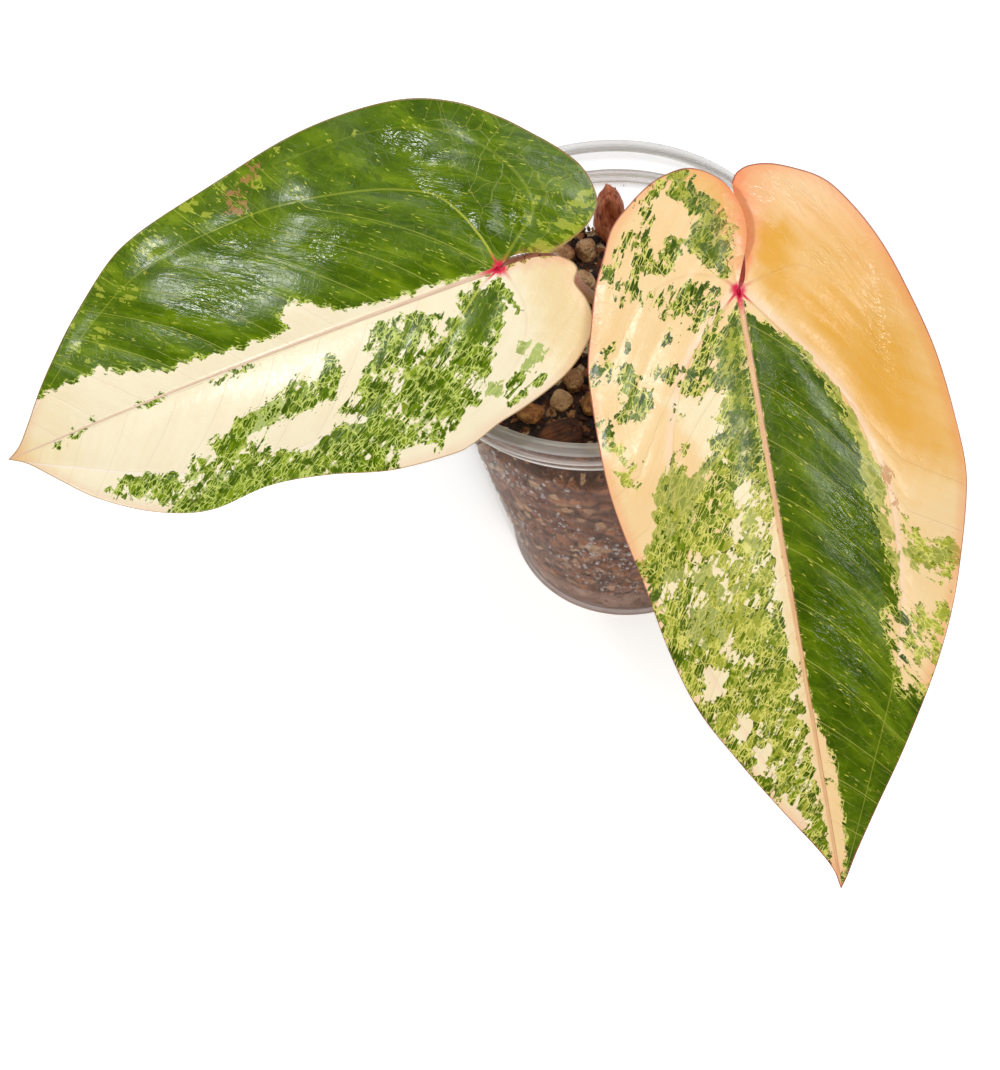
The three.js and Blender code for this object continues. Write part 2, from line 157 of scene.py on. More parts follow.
def spline(points: Array, samples: int, knots: float = 0.0) -> Array:
    """A Catmull-Rom curve through the points, at equal steps of its parameter.

    Each stretch is a cubic between two points. Its end slopes come from the neighbours, weighted by
    the gaps between points raised to the power `knots`, and the end points are mirrored outwards.

    Args:
        points: The points, one to a row.
        samples: How many places to return.
        knots: 0 for an even curve, 0.5 for one that holds tight where the points are close.

    Returns:
        The places, one to a row.
    """
    full = np.vstack([2 * points[0] - points[1], points, 2 * points[-1] - points[-2]])
    gaps = np.linalg.norm(np.diff(full, axis=0), axis=1) ** knots
    at = np.linspace(0.0, len(points) - 1.0, samples)
    piece = np.minimum(at.astype(int), len(points) - 2)
    t = (at - piece)[:, None]
    p0, p1, p2, p3 = (full[piece + k] for k in range(4))
    g0, g1, g2 = (gaps[piece + k][:, None] for k in range(3))
    leave = ((p1 - p0) / g0 - (p2 - p0) / (g0 + g1) + (p2 - p1) / g1) * g1
    reach = ((p2 - p1) / g1 - (p3 - p1) / (g1 + g2) + (p3 - p2) / g2) * g1
    return (
        (2 * t**3 - 3 * t**2 + 1) * p1
        + (t**3 - 2 * t**2 + t) * leave
        + (3 * t**2 - 2 * t**3) * p2
        + (t**3 - t**2) * reach
    )


def evenly(path: Array, samples: int) -> Array:
    """Places at equal steps of a path's length, on its straight stretches.

    Args:
        path: The path's points.
        samples: How many places to return.

    Returns:
        The places, one to a row.
    """
    run = np.concatenate([[0.0], np.cumsum(np.linalg.norm(np.diff(path, axis=0), axis=1))])
    at = np.linspace(0.0, run[-1], samples)
    return np.stack([np.interp(at, run, path[:, k]) for k in range(path.shape[1])], -1)


def turns(count: int) -> Array:
    """Even steps round a circle, in radians."""
    return np.linspace(0.0, 2 * np.pi, count, endpoint=False)


def circled(reach: Array | float, turn: Array, z: Array | float) -> Array:
    """Points at a reach, a turn and a height about the vertical axis."""
    return np.stack(np.broadcast_arrays(reach * np.cos(turn), reach * np.sin(turn), z), -1)


@dataclass
class Surface:
    """Points in millimetres with four-cornered and three-cornered faces on them."""

    points: Array
    quads: Array = field(default_factory=lambda: np.zeros((0, 4), np.int64))
    tris: Array = field(default_factory=lambda: NO_FACES)

    def joined(self, other: Surface) -> Surface:
        """Both surfaces in one, this one's points first.

        Args:
            other: The surface to add.

        Returns:
            The two together.
        """
        shift = len(self.points)
        return Surface(
            np.vstack([self.points, other.points]),
            np.vstack([self.quads, other.quads + shift]),
            np.vstack([self.tris, other.tris + shift]),
        )

    def piece(self, name: str, smooth: bool | Array = True) -> bpy.types.Object:
        """Writes the surface into a new mesh object at the origin.

        Args:
            name: The object's name.
            smooth: One answer for all faces, or one for each, quads first.

        Returns:
            The object.
        """
        mesh = bpy.data.meshes.new(name)
        corners = np.concatenate([self.quads.ravel(), self.tris.ravel()]).astype(np.int32)
        sizes = np.concatenate([np.full(len(self.quads), 4), np.full(len(self.tris), 3)])
        starts = np.concatenate([[0], np.cumsum(sizes)[:-1]]).astype(np.int32)
        mesh.vertices.add(len(self.points))
        mesh.vertices.foreach_set("co", (self.points * MM).astype(np.float32).ravel())
        mesh.loops.add(len(corners))
        mesh.loops.foreach_set("vertex_index", corners)
        mesh.polygons.add(len(sizes))
        mesh.polygons.foreach_set("loop_start", starts)
        mesh.polygons.foreach_set("use_smooth", np.broadcast_to(smooth, len(sizes)).astype(bool))
        mesh.update(calc_edges=True)
        made = bpy.data.objects.new(name, mesh)
        bpy.context.scene.collection.objects.link(made)
        return made


def net(rows: int, columns: int, closed: bool) -> Array:
    """Faces of a grid of points held row by row.

    Args:
        rows: Rows of points.
        columns: Points in a row.
        closed: Whether the last column joins the first.

    Returns:
        Four corners to a row. Seen with the rows going up and the columns going right, they turn
        anticlockwise.
    """
    row, column = np.meshgrid(np.arange(rows - 1), np.arange(columns - (not closed)), indexing="ij")
    here = row * columns + column
    right = row * columns + (column + 1) % columns
    return np.stack([here, right, right + columns, here + columns], -1).reshape(-1, 4)


def loft(rings: Array) -> Surface:
    """A closed skin over rings of points, with a fan on each end.

    Args:
        rings: Rings by points by three. Each ring turns anticlockwise seen from the last one's side.

    Returns:
        The surface.
    """
    count, around = rings.shape[:2]
    hubs = np.stack([rings[0].mean(0), rings[-1].mean(0)])
    here = np.arange(around)
    after = (here + 1) % around
    first = count * around
    low = np.stack([after, here, np.full(around, first)], -1)
    top = (count - 1) * around
    high = np.stack([top + here, top + after, np.full(around, first + 1)], -1)
    points = np.vstack([rings.reshape(-1, 3), hubs])
    return Surface(points, net(count, around, True), np.vstack([low, high]))


def tube(path: Array, radius: Array, sides: int, side: Array) -> Surface:
    """A round skin carried along a path, closed at both ends.

    The ring at each place stands square to the path. Its first direction is `side` made square to
    the path, and its second is square to both.

    Args:
        path: The middle line.
        radius: A radius for each place, or for each place and side.
        sides: Points in a ring.
        side: A direction that the path never takes.

    Returns:
        The surface.
    """
    heading = np.gradient(path, axis=0)
    heading /= np.linalg.norm(heading, axis=1)[:, None]
    first = side - (heading @ side)[:, None] * heading
    first /= np.linalg.norm(first, axis=1)[:, None]
    second = np.cross(heading, first)
    turn = turns(sides)[None, :, None]
    reach = np.broadcast_to(np.asarray(radius).reshape(len(path), -1), (len(path), sides))[..., None]
    rings = path[:, None] + reach * (first[:, None] * np.cos(turn) + second[:, None] * np.sin(turn))
    return loft(rings)


def lathe(profile: Array, sides: int) -> Surface:
    """A profile of [radius, height] rows turned about the vertical axis, closed at both poles."""
    return loft(circled(profile[:, :1], turns(sides), profile[:, 1:]))


def rounded(profile: Array, radius: float, steps: int) -> Array:
    """A profile with its corners rounded.

    Each inner corner gives way to a quadratic arc that leaves and meets its two edges at `radius`
    from it, or at 0.45 of a shorter edge.

    Args:
        profile: Corner points in order.
        radius: How far from a corner the arc starts.
        steps: Points on each arc.

    Returns:
        The new points in order.
    """
    before, corner, after = profile[:-2], profile[1:-1], profile[2:]
    into = np.linalg.norm(corner - before, axis=1)[:, None]
    out = np.linalg.norm(after - corner, axis=1)[:, None]
    start = corner + (before - corner) / into * np.minimum(radius, 0.45 * into)
    end = corner + (after - corner) / out * np.minimum(radius, 0.45 * out)
    t = np.linspace(0.0, 1.0, steps)[None, :, None]
    arcs = (1 - t) ** 2 * start[:, None] + 2 * t * (1 - t) * corner[:, None] + t**2 * end[:, None]
    return np.vstack([profile[:1], arcs.reshape(-1, 2), profile[-1:]])


def divided(profile: Array, longest: float) -> Array:
    """Splits the long steps of a line into equal parts.

    Args:
        profile: Its points.
        longest: The longest step that stays whole.

    Returns:
        The line with the added points.
    """
    steps = np.linalg.norm(np.diff(profile, axis=0), axis=1)
    parts = np.maximum(np.ceil(steps / longest).astype(int), 1)
    start = np.repeat(np.arange(len(parts)), parts)
    within = np.arange(len(start)) - np.repeat(np.cumsum(parts) - parts, parts)
    share = (within / parts[start])[:, None]
    return np.vstack([blend(profile[start], profile[start + 1], share), profile[-1:]])


def turned_about(axes: Array, angles: Array) -> Array:
    """Rotation matrices about unit axes.

    The matrix is the identity plus sine times the axis' cross matrix plus one less cosine times its
    square.

    Args:
        axes: Unit vectors.
        angles: Radians.

    Returns:
        One 3 by 3 matrix for each axis.
    """
    x, y, z = axes.T
    none = np.zeros_like(x)
    cross = np.stack([none, -z, y, z, none, -x, -y, x, none], -1).reshape(-1, 3, 3)
    sine = np.sin(angles)[:, None, None]
    cosine = np.cos(angles)[:, None, None]
    return np.eye(3) + sine * cross + (1 - cosine) * (cross @ cross)


def tumbled(random: np.random.Generator, count: int) -> Array:
    """Rotations by drawn angles about drawn axes.

    Args:
        random: The seeded draws.
        count: How many rotations.

    Returns:
        One 3 by 3 matrix for each.
    """
    axes = random.normal(size=(count, 3))
    axes /= np.linalg.norm(axes, axis=1)[:, None]
    return turned_about(axes, random.uniform(0, np.pi, count))


def strewn(template: Surface, shapes: Array, places: Array) -> Surface:
    """Copies of a small closed shape, each turned and scaled by its matrix and set at its place.

    Args:
        template: The shape, in triangles.
        shapes: A 3 by 3 matrix for each copy.
        places: A place for each copy.

    Returns:
        All copies as one surface.
    """
    count, size = len(places), len(template.points)
    points = np.einsum("nij,vj->nvi", shapes, template.points) + places[:, None]
    shift = (np.arange(count) * size)[:, None, None]
    return Surface(points.reshape(-1, 3), tris=(template.tris[None] + shift).reshape(-1, 3))


def crumb() -> Surface:
    """A twenty-faced ball of radius 1.

    Its corners are those of three golden rectangles, and each three that lie an edge apart make a
    face.

    Returns:
        The ball.
    """
    golden = (1 + math.sqrt(5)) / 2
    corners = [(s, t * golden) for s in (-1, 1) for t in (-1, 1)]
    flat = [(0, a, b) for a, b in corners]
    points = np.array(flat + [(a, b, 0) for _, a, b in flat] + [(b, 0, a) for _, a, b in flat], float)
    gap = np.linalg.norm(points[:, None] - points[None], axis=2)
    near = (gap > 0) & (gap < 2.1)
    i, j, k = np.nonzero(near[:, :, None] & near[None] & near[:, None])
    kept = (i < j) & (j < k)
    tris = np.stack([i, j, k], 1)[kept]
    first, second, third = points[tris].swapaxes(0, 1)
    facing = np.einsum("ij,ij->i", np.cross(second - first, third - first), first + second + third)
    tris[facing < 0] = tris[facing < 0][:, ::-1]
    return Surface(points / np.linalg.norm(points, axis=1)[:, None], tris=tris)


def bead() -> Surface:
    """A drop that stands on the plane z = 0 with radius 1: two rings, a top and a closed foot.

    Returns:
        The drop, in triangles.
    """
    shoulder, shoulder_height, height = 0.8, 0.42, 0.62
    ring = circled(1.0, turns(8), 0.0)
    skin = loft(np.stack([ring, ring * shoulder + [0, 0, shoulder_height]]))
    skin.points[-1, 2] = height
    split = skin.quads[:, [0, 1, 2, 0, 2, 3]].reshape(-1, 3)
    return Surface(skin.points, tris=np.vstack([split, skin.tris]))


def put_values(piece: bpy.types.Object, name: str, values: Array) -> None:
    """Stores one number, or one vector, for each vertex of a piece.

    Args:
        piece: The mesh object.
        name: The attribute's name.
        values: The numbers, or the vectors in rows.
    """
    flat = values.ndim == 1
    layer = piece.data.attributes.new(name, "FLOAT" if flat else "FLOAT_VECTOR", "POINT")
    layer.data.foreach_set("value" if flat else "vector", values.astype(np.float32).ravel())


def seat(piece: bpy.types.Object, slot: str, material: bpy.types.Material, *nodes: str) -> None:
    """Dresses a finished piece and ties it to the frame.

    Args:
        piece: The new object.
        slot: Not used; the record's material slot for the piece.
        material: Its finish.
        nodes: The CAD nodes that it stands for.
    """
    piece.data.materials.clear()
    piece.data.materials.append(material)
    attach(piece, BODY)
    if nodes:
        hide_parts(*nodes)
    faces = sum(len(face.vertices) - 2 for face in piece.data.polygons)
    log.info("%s: %d triangles, for %s", piece.name, faces, ", ".join(nodes) or "no node")


# Shader writing


def tone(red: int, green: int, blue: int) -> Colour:
    """A linear colour from the 0 to 255 values that a screen shows.

    Args:
        red: The red value.
        green: The green value.
        blue: The blue value.

    Returns:
        The colour, with an alpha of 1.
    """
    shown = np.array([red, green, blue]) / 255.0
    linear = np.where(shown <= 0.04045, shown / 12.92, ((shown + 0.055) / 1.055) ** 2.4)
    return (float(linear[0]), float(linear[1]), float(linear[2]), 1.0)


def grey(level: float) -> Colour:
    """A linear grey."""
    return (level, level, level, 1.0)


class Nodes:
    """Writes nodes into one tree. A plain value stands on the socket, and a socket is linked."""

    def __init__(self, tree: bpy.types.NodeTree) -> None:
        """Takes the tree to write into."""
        self.tree = tree

    def feed(self, socket: Socket, value: object) -> None:
        """Links a value into a socket, or sets it there where it is plain.

        Args:
            socket: Where the value goes.
            value: An output socket, or a plain value.
        """
        if isinstance(value, bpy.types.NodeSocket):
            self.tree.links.new(value, socket)
        else:
            socket.default_value = value

    def add(self, kind: str, inputs: dict | None = None, **settings: object) -> bpy.types.Node:
        """Adds one node.

        Args:
            kind: The node's type.
            inputs: Values or sockets by input name or number.
            settings: The node's own settings.

        Returns:
            The node.
        """
        node = self.tree.nodes.new(kind)
        for key, value in settings.items():
            setattr(node, key, value)
        for key, value in (inputs or {}).items():
            self.feed(node.inputs[key], value)
        return node

    def value(self, name: str) -> Socket:
        """A number stored on the mesh."""
        return self.add("ShaderNodeAttribute", attribute_name=name).outputs["Fac"]

    def vector(self, name: str) -> Socket:
        """A vector stored on the mesh."""
        return self.add("ShaderNodeAttribute", attribute_name=name).outputs["Vector"]

    def place(self) -> Socket:
        """The place on the object, in millimetres."""
        found = self.add("ShaderNodeTexCoord").outputs["Object"]
        return self.scaled(found, 1 / MM)

    def vectors(self, operation: str, *values: object) -> bpy.types.Node:
        """A sum, product, length or the like of one or two vectors."""
        return self.add("ShaderNodeVectorMath", dict(enumerate(values)), operation=operation)

    def scaled(self, vector: Socket, by: float | tuple) -> Socket:
        """A vector times a number, or times three numbers axis by axis."""
        factors = (by, by, by) if isinstance(by, (int, float)) else by
        return self.vectors("MULTIPLY", vector, factors).outputs[0]

    def length(self, vector: Socket) -> Socket:
        """A vector's length."""
        return self.vectors("LENGTH", vector).outputs["Value"]

    def parts(self, vector: Socket) -> Outputs:
        """A vector's X, Y and Z."""
        return self.add("ShaderNodeSeparateXYZ", {0: vector}).outputs

    def math(self, operation: str, *values: object, clamp: bool = False) -> Socket:
        """A sum, product or the like of one to three numbers."""
        given = dict(enumerate(values))
        return self.add("ShaderNodeMath", given, operation=operation, use_clamp=clamp).outputs[0]

    def times(self, first: object, second: object) -> Socket:
        """The product of two numbers."""
        return self.math("MULTIPLY", first, second)

    def plus(self, first: object, factor: object, added: object, clamp: bool = False) -> Socket:
        """A number times a factor, added to another."""
        return self.math("MULTIPLY_ADD", first, factor, added, clamp=clamp)

    def less(self, first: object, second: object) -> Socket:
        """A number less another."""
        return self.math("SUBTRACT", first, second)

    def most(self, first: object, second: object) -> Socket:
        """The larger of two numbers."""
        return self.math("MAXIMUM", first, second)

    def apart(self, value: object, middle: float) -> Socket:
        """How far a number lies from a middle."""
        return self.math("ABSOLUTE", self.less(value, middle))

    def rise(self, value: object, low: object, high: object, start: float = 0, end: float = 1) -> Socket:
        """Goes from start to end as a value goes from low to high, with flat ends."""
        given = {0: value, 1: low, 2: high, 3: start, 4: end}
        return self.add("ShaderNodeMapRange", given, interpolation_type="SMOOTHSTEP").outputs[0]

    def mix(self, share: object, first: object, second: object) -> Socket:
        """Two colours mixed by a share."""
        return self.add("ShaderNodeMix", {0: share, 6: first, 7: second}, data_type="RGBA").outputs[2]

    def over(self, share: object, part: float, first: object, second: object) -> Socket:
        """Two colours mixed by part of a share."""
        return self.mix(self.times(share, part), first, second)

    def ramp(self, share: Socket, *stops: tuple[float, Colour]) -> Socket:
        """A colour that runs through stops.

        Args:
            share: Where the colour is read, from 0 to 1.
            stops: Places from 0 to 1, each with its colour.

        Returns:
            The colour.
        """
        node = self.add("ShaderNodeValToRGB", {0: share})
        elements = node.color_ramp.elements
        for at, colour in stops[2:]:
            elements.new(at).color = colour
        for element, (at, colour) in zip(sorted(elements, key=lambda e: e.position), sorted(stops)):
            element.position = at
            element.color = colour
        return node.outputs[0]

    def noise(self, vector: Socket, size: float, detail: float, rough: float = 0.55) -> Socket:
        """Soft noise around 0.5 with features of about this size."""
        given = {"Vector": vector, "Scale": 1 / size, "Detail": detail, "Roughness": rough}
        return self.add("ShaderNodeTexNoise", given).outputs[0]

    def cells(self, vector: Socket, size: float, feature: str = "F1") -> bpy.types.Node:
        """A cell pattern of about this size."""
        return self.add("ShaderNodeTexVoronoi", {"Vector": vector, "Scale": 1 / size}, feature=feature)

    def borders(self, vector: Socket, size: float) -> Socket:
        """The distance to the nearest border of a cell pattern of about this size."""
        return self.cells(vector, size, "DISTANCE_TO_EDGE").outputs["Distance"]

    def drawn(self, cells: bpy.types.Node) -> Socket:
        """A draw from 0 to 1 for each cell of a pattern."""
        return self.add("ShaderNodeSeparateColor", {0: cells.outputs["Color"]}).outputs[0]

    def shaken(self, vector: Socket, size: float, by: float) -> Socket:
        """Pushes a vector about by noise.

        Args:
            vector: The vector.
            size: The size of the noise's features.
            by: About how far the furthest places are pushed.

        Returns:
            The new vector.
        """
        given = {"Vector": vector, "Scale": 1 / size, "Detail": 3.0}
        noise = self.add("ShaderNodeTexNoise", given).outputs["Color"]
        centred = self.vectors("SUBTRACT", noise, (0.5, 0.5, 0.5)).outputs[0]
        return self.vectors("ADD", self.scaled(centred, 2 * by), vector).outputs[0]

    def bump(self, height: Socket, depth: float, strength: float) -> Socket:
        """A normal raised by a height from 0 to 1 over a depth in millimetres."""
        given = {"Height": height, "Distance": depth * MM, "Strength": strength}
        return self.add("ShaderNodeBump", given).outputs[0]


def effect(name: str, inputs: dict[str, str], outputs: dict[str, str]) -> tuple:
    """Starts a shader node group with named sockets.

    Args:
        name: The group's name.
        inputs: Socket types by name.
        outputs: Socket types by name.

    Returns:
        The tree, a writer for it, the sockets that bring values in, and those that take them out.
    """
    tree = bpy.data.node_groups.new(name, "ShaderNodeTree")
    for label, kind in inputs.items():
        tree.interface.new_socket(label, in_out="INPUT", socket_type="NodeSocket" + kind)
    for label, kind in outputs.items():
        tree.interface.new_socket(label, in_out="OUTPUT", socket_type="NodeSocket" + kind)
    write = Nodes(tree)
    return tree, write, write.add("NodeGroupInput").outputs, write.add("NodeGroupOutput").inputs


class Effects:
    """The effects that several finishes share, each built on first use."""

    def __init__(self) -> None:
        """Starts with none built."""
        self.built: dict[str, bpy.types.NodeTree] = {}

    def use(self, write: Nodes, name: str, inputs: dict) -> bpy.types.Node:
        """Places an effect in a material.

        Args:
            write: The material's writer.
            name: mosaic, line, grain or pores.
            inputs: Values or sockets by input name.

        Returns:
            The group node.
        """
        if name not in self.built:
            self.built[name] = getattr(self, name)()
        node = write.add("ShaderNodeGroup", node_tree=self.built[name])
        for key, value in inputs.items():
            write.feed(node.inputs[key], value)
        return node

    def mosaic(self) -> bpy.types.NodeTree:
        """Leaf tissue in patches: a cell shows where the density beats its own draw.

        Round cells of two sizes, cells of two sizes that lean along the side veins, and noise each
        give a draw. Their weighted sum is compared with the density. `Thin` is the same with a
        slightly higher density, so it rings each patch, `Rim` is the patch's own edge, `Draw` is a
        leaning cell's draw, and `Lace` is a pale net between the cells.

        Returns:
            The group.
        """
        tree, write, given, out = effect(
            "tissue_mosaic",
            {"Place": "Vector", "Flow": "Vector", "Density": "Float", "Ring": "Float"},
            {"Mask": "Float", "Thin": "Float", "Rim": "Float", "Draw": "Float", "Lace": "Float"},
        )
        round_cell, slim_cell = 2.8, 1.35
        place = write.shaken(given["Place"], 1.5, 0.4)
        streak = write.shaken(write.scaled(given["Flow"], (1.05, 0.72, 1.0)), 1.4, 0.7)
        own = write.drawn(write.cells(streak, slim_cell))
        weighed = (
            (own, 0.32),
            (write.drawn(write.cells(place, 0.65)), 0.12),
            (write.drawn(write.cells(streak, 3.1)), 0.2),
            (write.rise(write.noise(given["Place"], 5.0, 4.0), 0.3, 0.7), 0.2),
        )
        draw = write.times(write.drawn(write.cells(place, round_cell)), 0.32)
        for part, weight in weighed:
            draw = write.plus(part, weight, draw)
        draw = write.rise(draw, 0.22, 0.96, 0.03, 0.97)
        gap = write.less(given["Density"], draw)
        ring = write.times(given["Ring"], write.rise(given["Density"], 0.05, 0.3))
        mesh = write.rise(write.borders(place, round_cell), 0.04, 0.018)
        slim = write.rise(write.borders(streak, slim_cell), 0.085, 0.04)
        write.feed(out["Mask"], write.rise(gap, -0.012, 0.02))
        write.feed(out["Thin"], write.rise(write.math("ADD", gap, ring), -0.01, 0.03))
        write.feed(out["Rim"], write.rise(gap, 0.12, 0.03))
        write.feed(out["Draw"], own)
        write.feed(out["Lace"], write.most(mesh, slim))
        return tree

    def line(self) -> bpy.types.NodeTree:
        """A soft-edged line where a signed distance passes zero.

        Returns:
            The group.
        """
        tree, write, given, out = effect(
            "vein_line", {"Distance": "Float", "Half Width": "Float"}, {"Mask": "Float"}
        )
        away = write.math("ABSOLUTE", given["Distance"])
        share = write.math("DIVIDE", away, given["Half Width"])
        write.feed(out["Mask"], write.rise(share, 1.25, 0.5))
        return tree

    def grain(self) -> bpy.types.NodeTree:
        """Long fibres, broken by noise, along the third axis of a place.

        Returns:
            The group.
        """
        tree, write, given, out = effect(
            "fibre_grain", {"Place": "Vector", "Pitch": "Float"}, {"Mask": "Float"}
        )
        pitches = {0: given["Place"], 3: write.math("DIVIDE", 1.0, given["Pitch"])}
        place = write.add("ShaderNodeVectorMath", pitches, operation="SCALE").outputs[0]
        fibres = write.noise(write.scaled(place, (1.0, 1.0, 0.14)), 1.0, 4.0, 0.6)
        knots = write.noise(place, 3.0, 3.0)
        write.feed(out["Mask"], write.rise(write.plus(knots, 0.5, fibres), 0.5, 1.0))
        return tree

    def pores(self) -> bpy.types.NodeTree:
        """Rounded grains with dark pores between them.

        Returns:
            The group.
        """
        tree, write, given, out = effect(
            "mineral_pores", {"Place": "Vector"}, {"Grain": "Float", "Pore": "Float"}
        )
        coarse = write.cells(write.shaken(given["Place"], 1.2, 0.3), 1.1).outputs["Distance"]
        fine = write.noise(given["Place"], 0.5, 4.0, 0.65)
        write.feed(out["Grain"], write.plus(fine, 0.5, write.rise(coarse, 0.7, 0.1)))
        write.feed(out["Pore"], write.rise(fine, 0.58, 0.68))
        return tree


effects = Effects()


def new_material(name: str) -> tuple[bpy.types.Material, Nodes, dict]:
    """Starts a material.

    Args:
        name: The material's name.

    Returns:
        The material, a writer for its tree, and the inputs of its Principled shader.
    """
    material = bpy.data.materials.new(name)
    material.use_nodes = True
    tree = material.node_tree
    tree.nodes.clear()
    write = Nodes(tree)
    shader = write.add("ShaderNodeBsdfPrincipled")
    write.add("ShaderNodeOutputMaterial", {"Surface": shader.outputs[0]})
    return material, write, shader.inputs


def polish(shader: dict, rough: float, index: float, specular: float) -> None:
    """Sets a clear skin's roughness, index of refraction and shine.

    Args:
        shader: The shader's inputs.
        rough: Its roughness.
        index: Its index of refraction.
        specular: How strongly it mirrors.
    """
    shader["Roughness"].default_value = rough
    shader["IOR"].default_value = index
    shader["Specular IOR Level"].default_value = specular


# Leaves


class Layer(Enum):
    """What an outlined patch of a blade holds."""

    GREEN = "green"
    THIN = "thin"
    LIME = "lime"
    WARM = "warm"
    BLUSH = "blush"
    SPECK = "speck"


@dataclass(frozen=True)
class Patch:
    """A patch of leaf tissue: its layer, how densely it fills, and its outline on the leaf plane."""

    layer: Layer
    strength: float
    outline: tuple
    feather: float = 1.1

    def cover(self, places: Array) -> Array:
        """How far each place lies in the patch.

        The distance to the nearest edge of the outline counts as positive inside, which an odd
        count of edges to one side shows, and rises from 0 to 1 across twice the feather.

        Args:
            places: Points on the leaf plane.

        Returns:
            A share from 0 to 1 for each.
        """
        start = np.array(self.outline, float)
        end = np.roll(start, -1, 0)
        low = start.min(0) - 2 * self.feather
        high = start.max(0) + 2 * self.feather
        near = np.nonzero(((places > low) & (places < high)).all(1))[0]
        spot = places[near][:, None]
        edge = (end - start)[None]
        share = ((spot - start) * edge).sum(-1) / (edge**2).sum(-1)
        foot = start + np.clip(share, 0, 1)[..., None] * edge
        away = np.linalg.norm(spot - foot, axis=-1).min(1)
        above = start[:, 1] > spot[..., 1]
        crosses = above != (end[:, 1] > spot[..., 1])
        rise = np.where(end[:, 1] == start[:, 1], 1e-9, end[:, 1] - start[:, 1])
        at = start[:, 0] + (spot[..., 1] - start[:, 1]) * (end[:, 0] - start[:, 0]) / rise
        inside = (crosses & (spot[..., 0] < at)).sum(1) % 2 == 1
        cover = np.zeros(len(places))
        cover[near] = smoothstep(np.where(inside, away, -away), -self.feather, self.feather)
        return cover


@dataclass(frozen=True)
class Side:
    """Half a blade: its margin from the sinus to the tip, and how its sinus edge bends."""

    outline: tuple
    bow: float
    bow_peak: float
    lift: float


@dataclass(frozen=True)
class Fold:
    """A soft fold in a blade: where it lies, its slope along and across, and how far it reaches."""

    at: tuple
    slope: tuple
    reach: tuple

    def share(self, u: Array, v: Array) -> Array:
        """A bell of the distance to the fold's middle, in reaches."""
        return np.exp(-(((u - self.at[0]) / self.reach[0]) ** 2) - ((v - self.at[1]) / self.reach[1]) ** 2)

    def height(self, u: Array, v: Array) -> Array:
        """A ramp with the fold's slope, faded by its bell."""
        ramp = (u - self.at[0]) * self.slope[0] + (v - self.at[1]) * self.slope[1]
        return ramp * self.share(u, v)


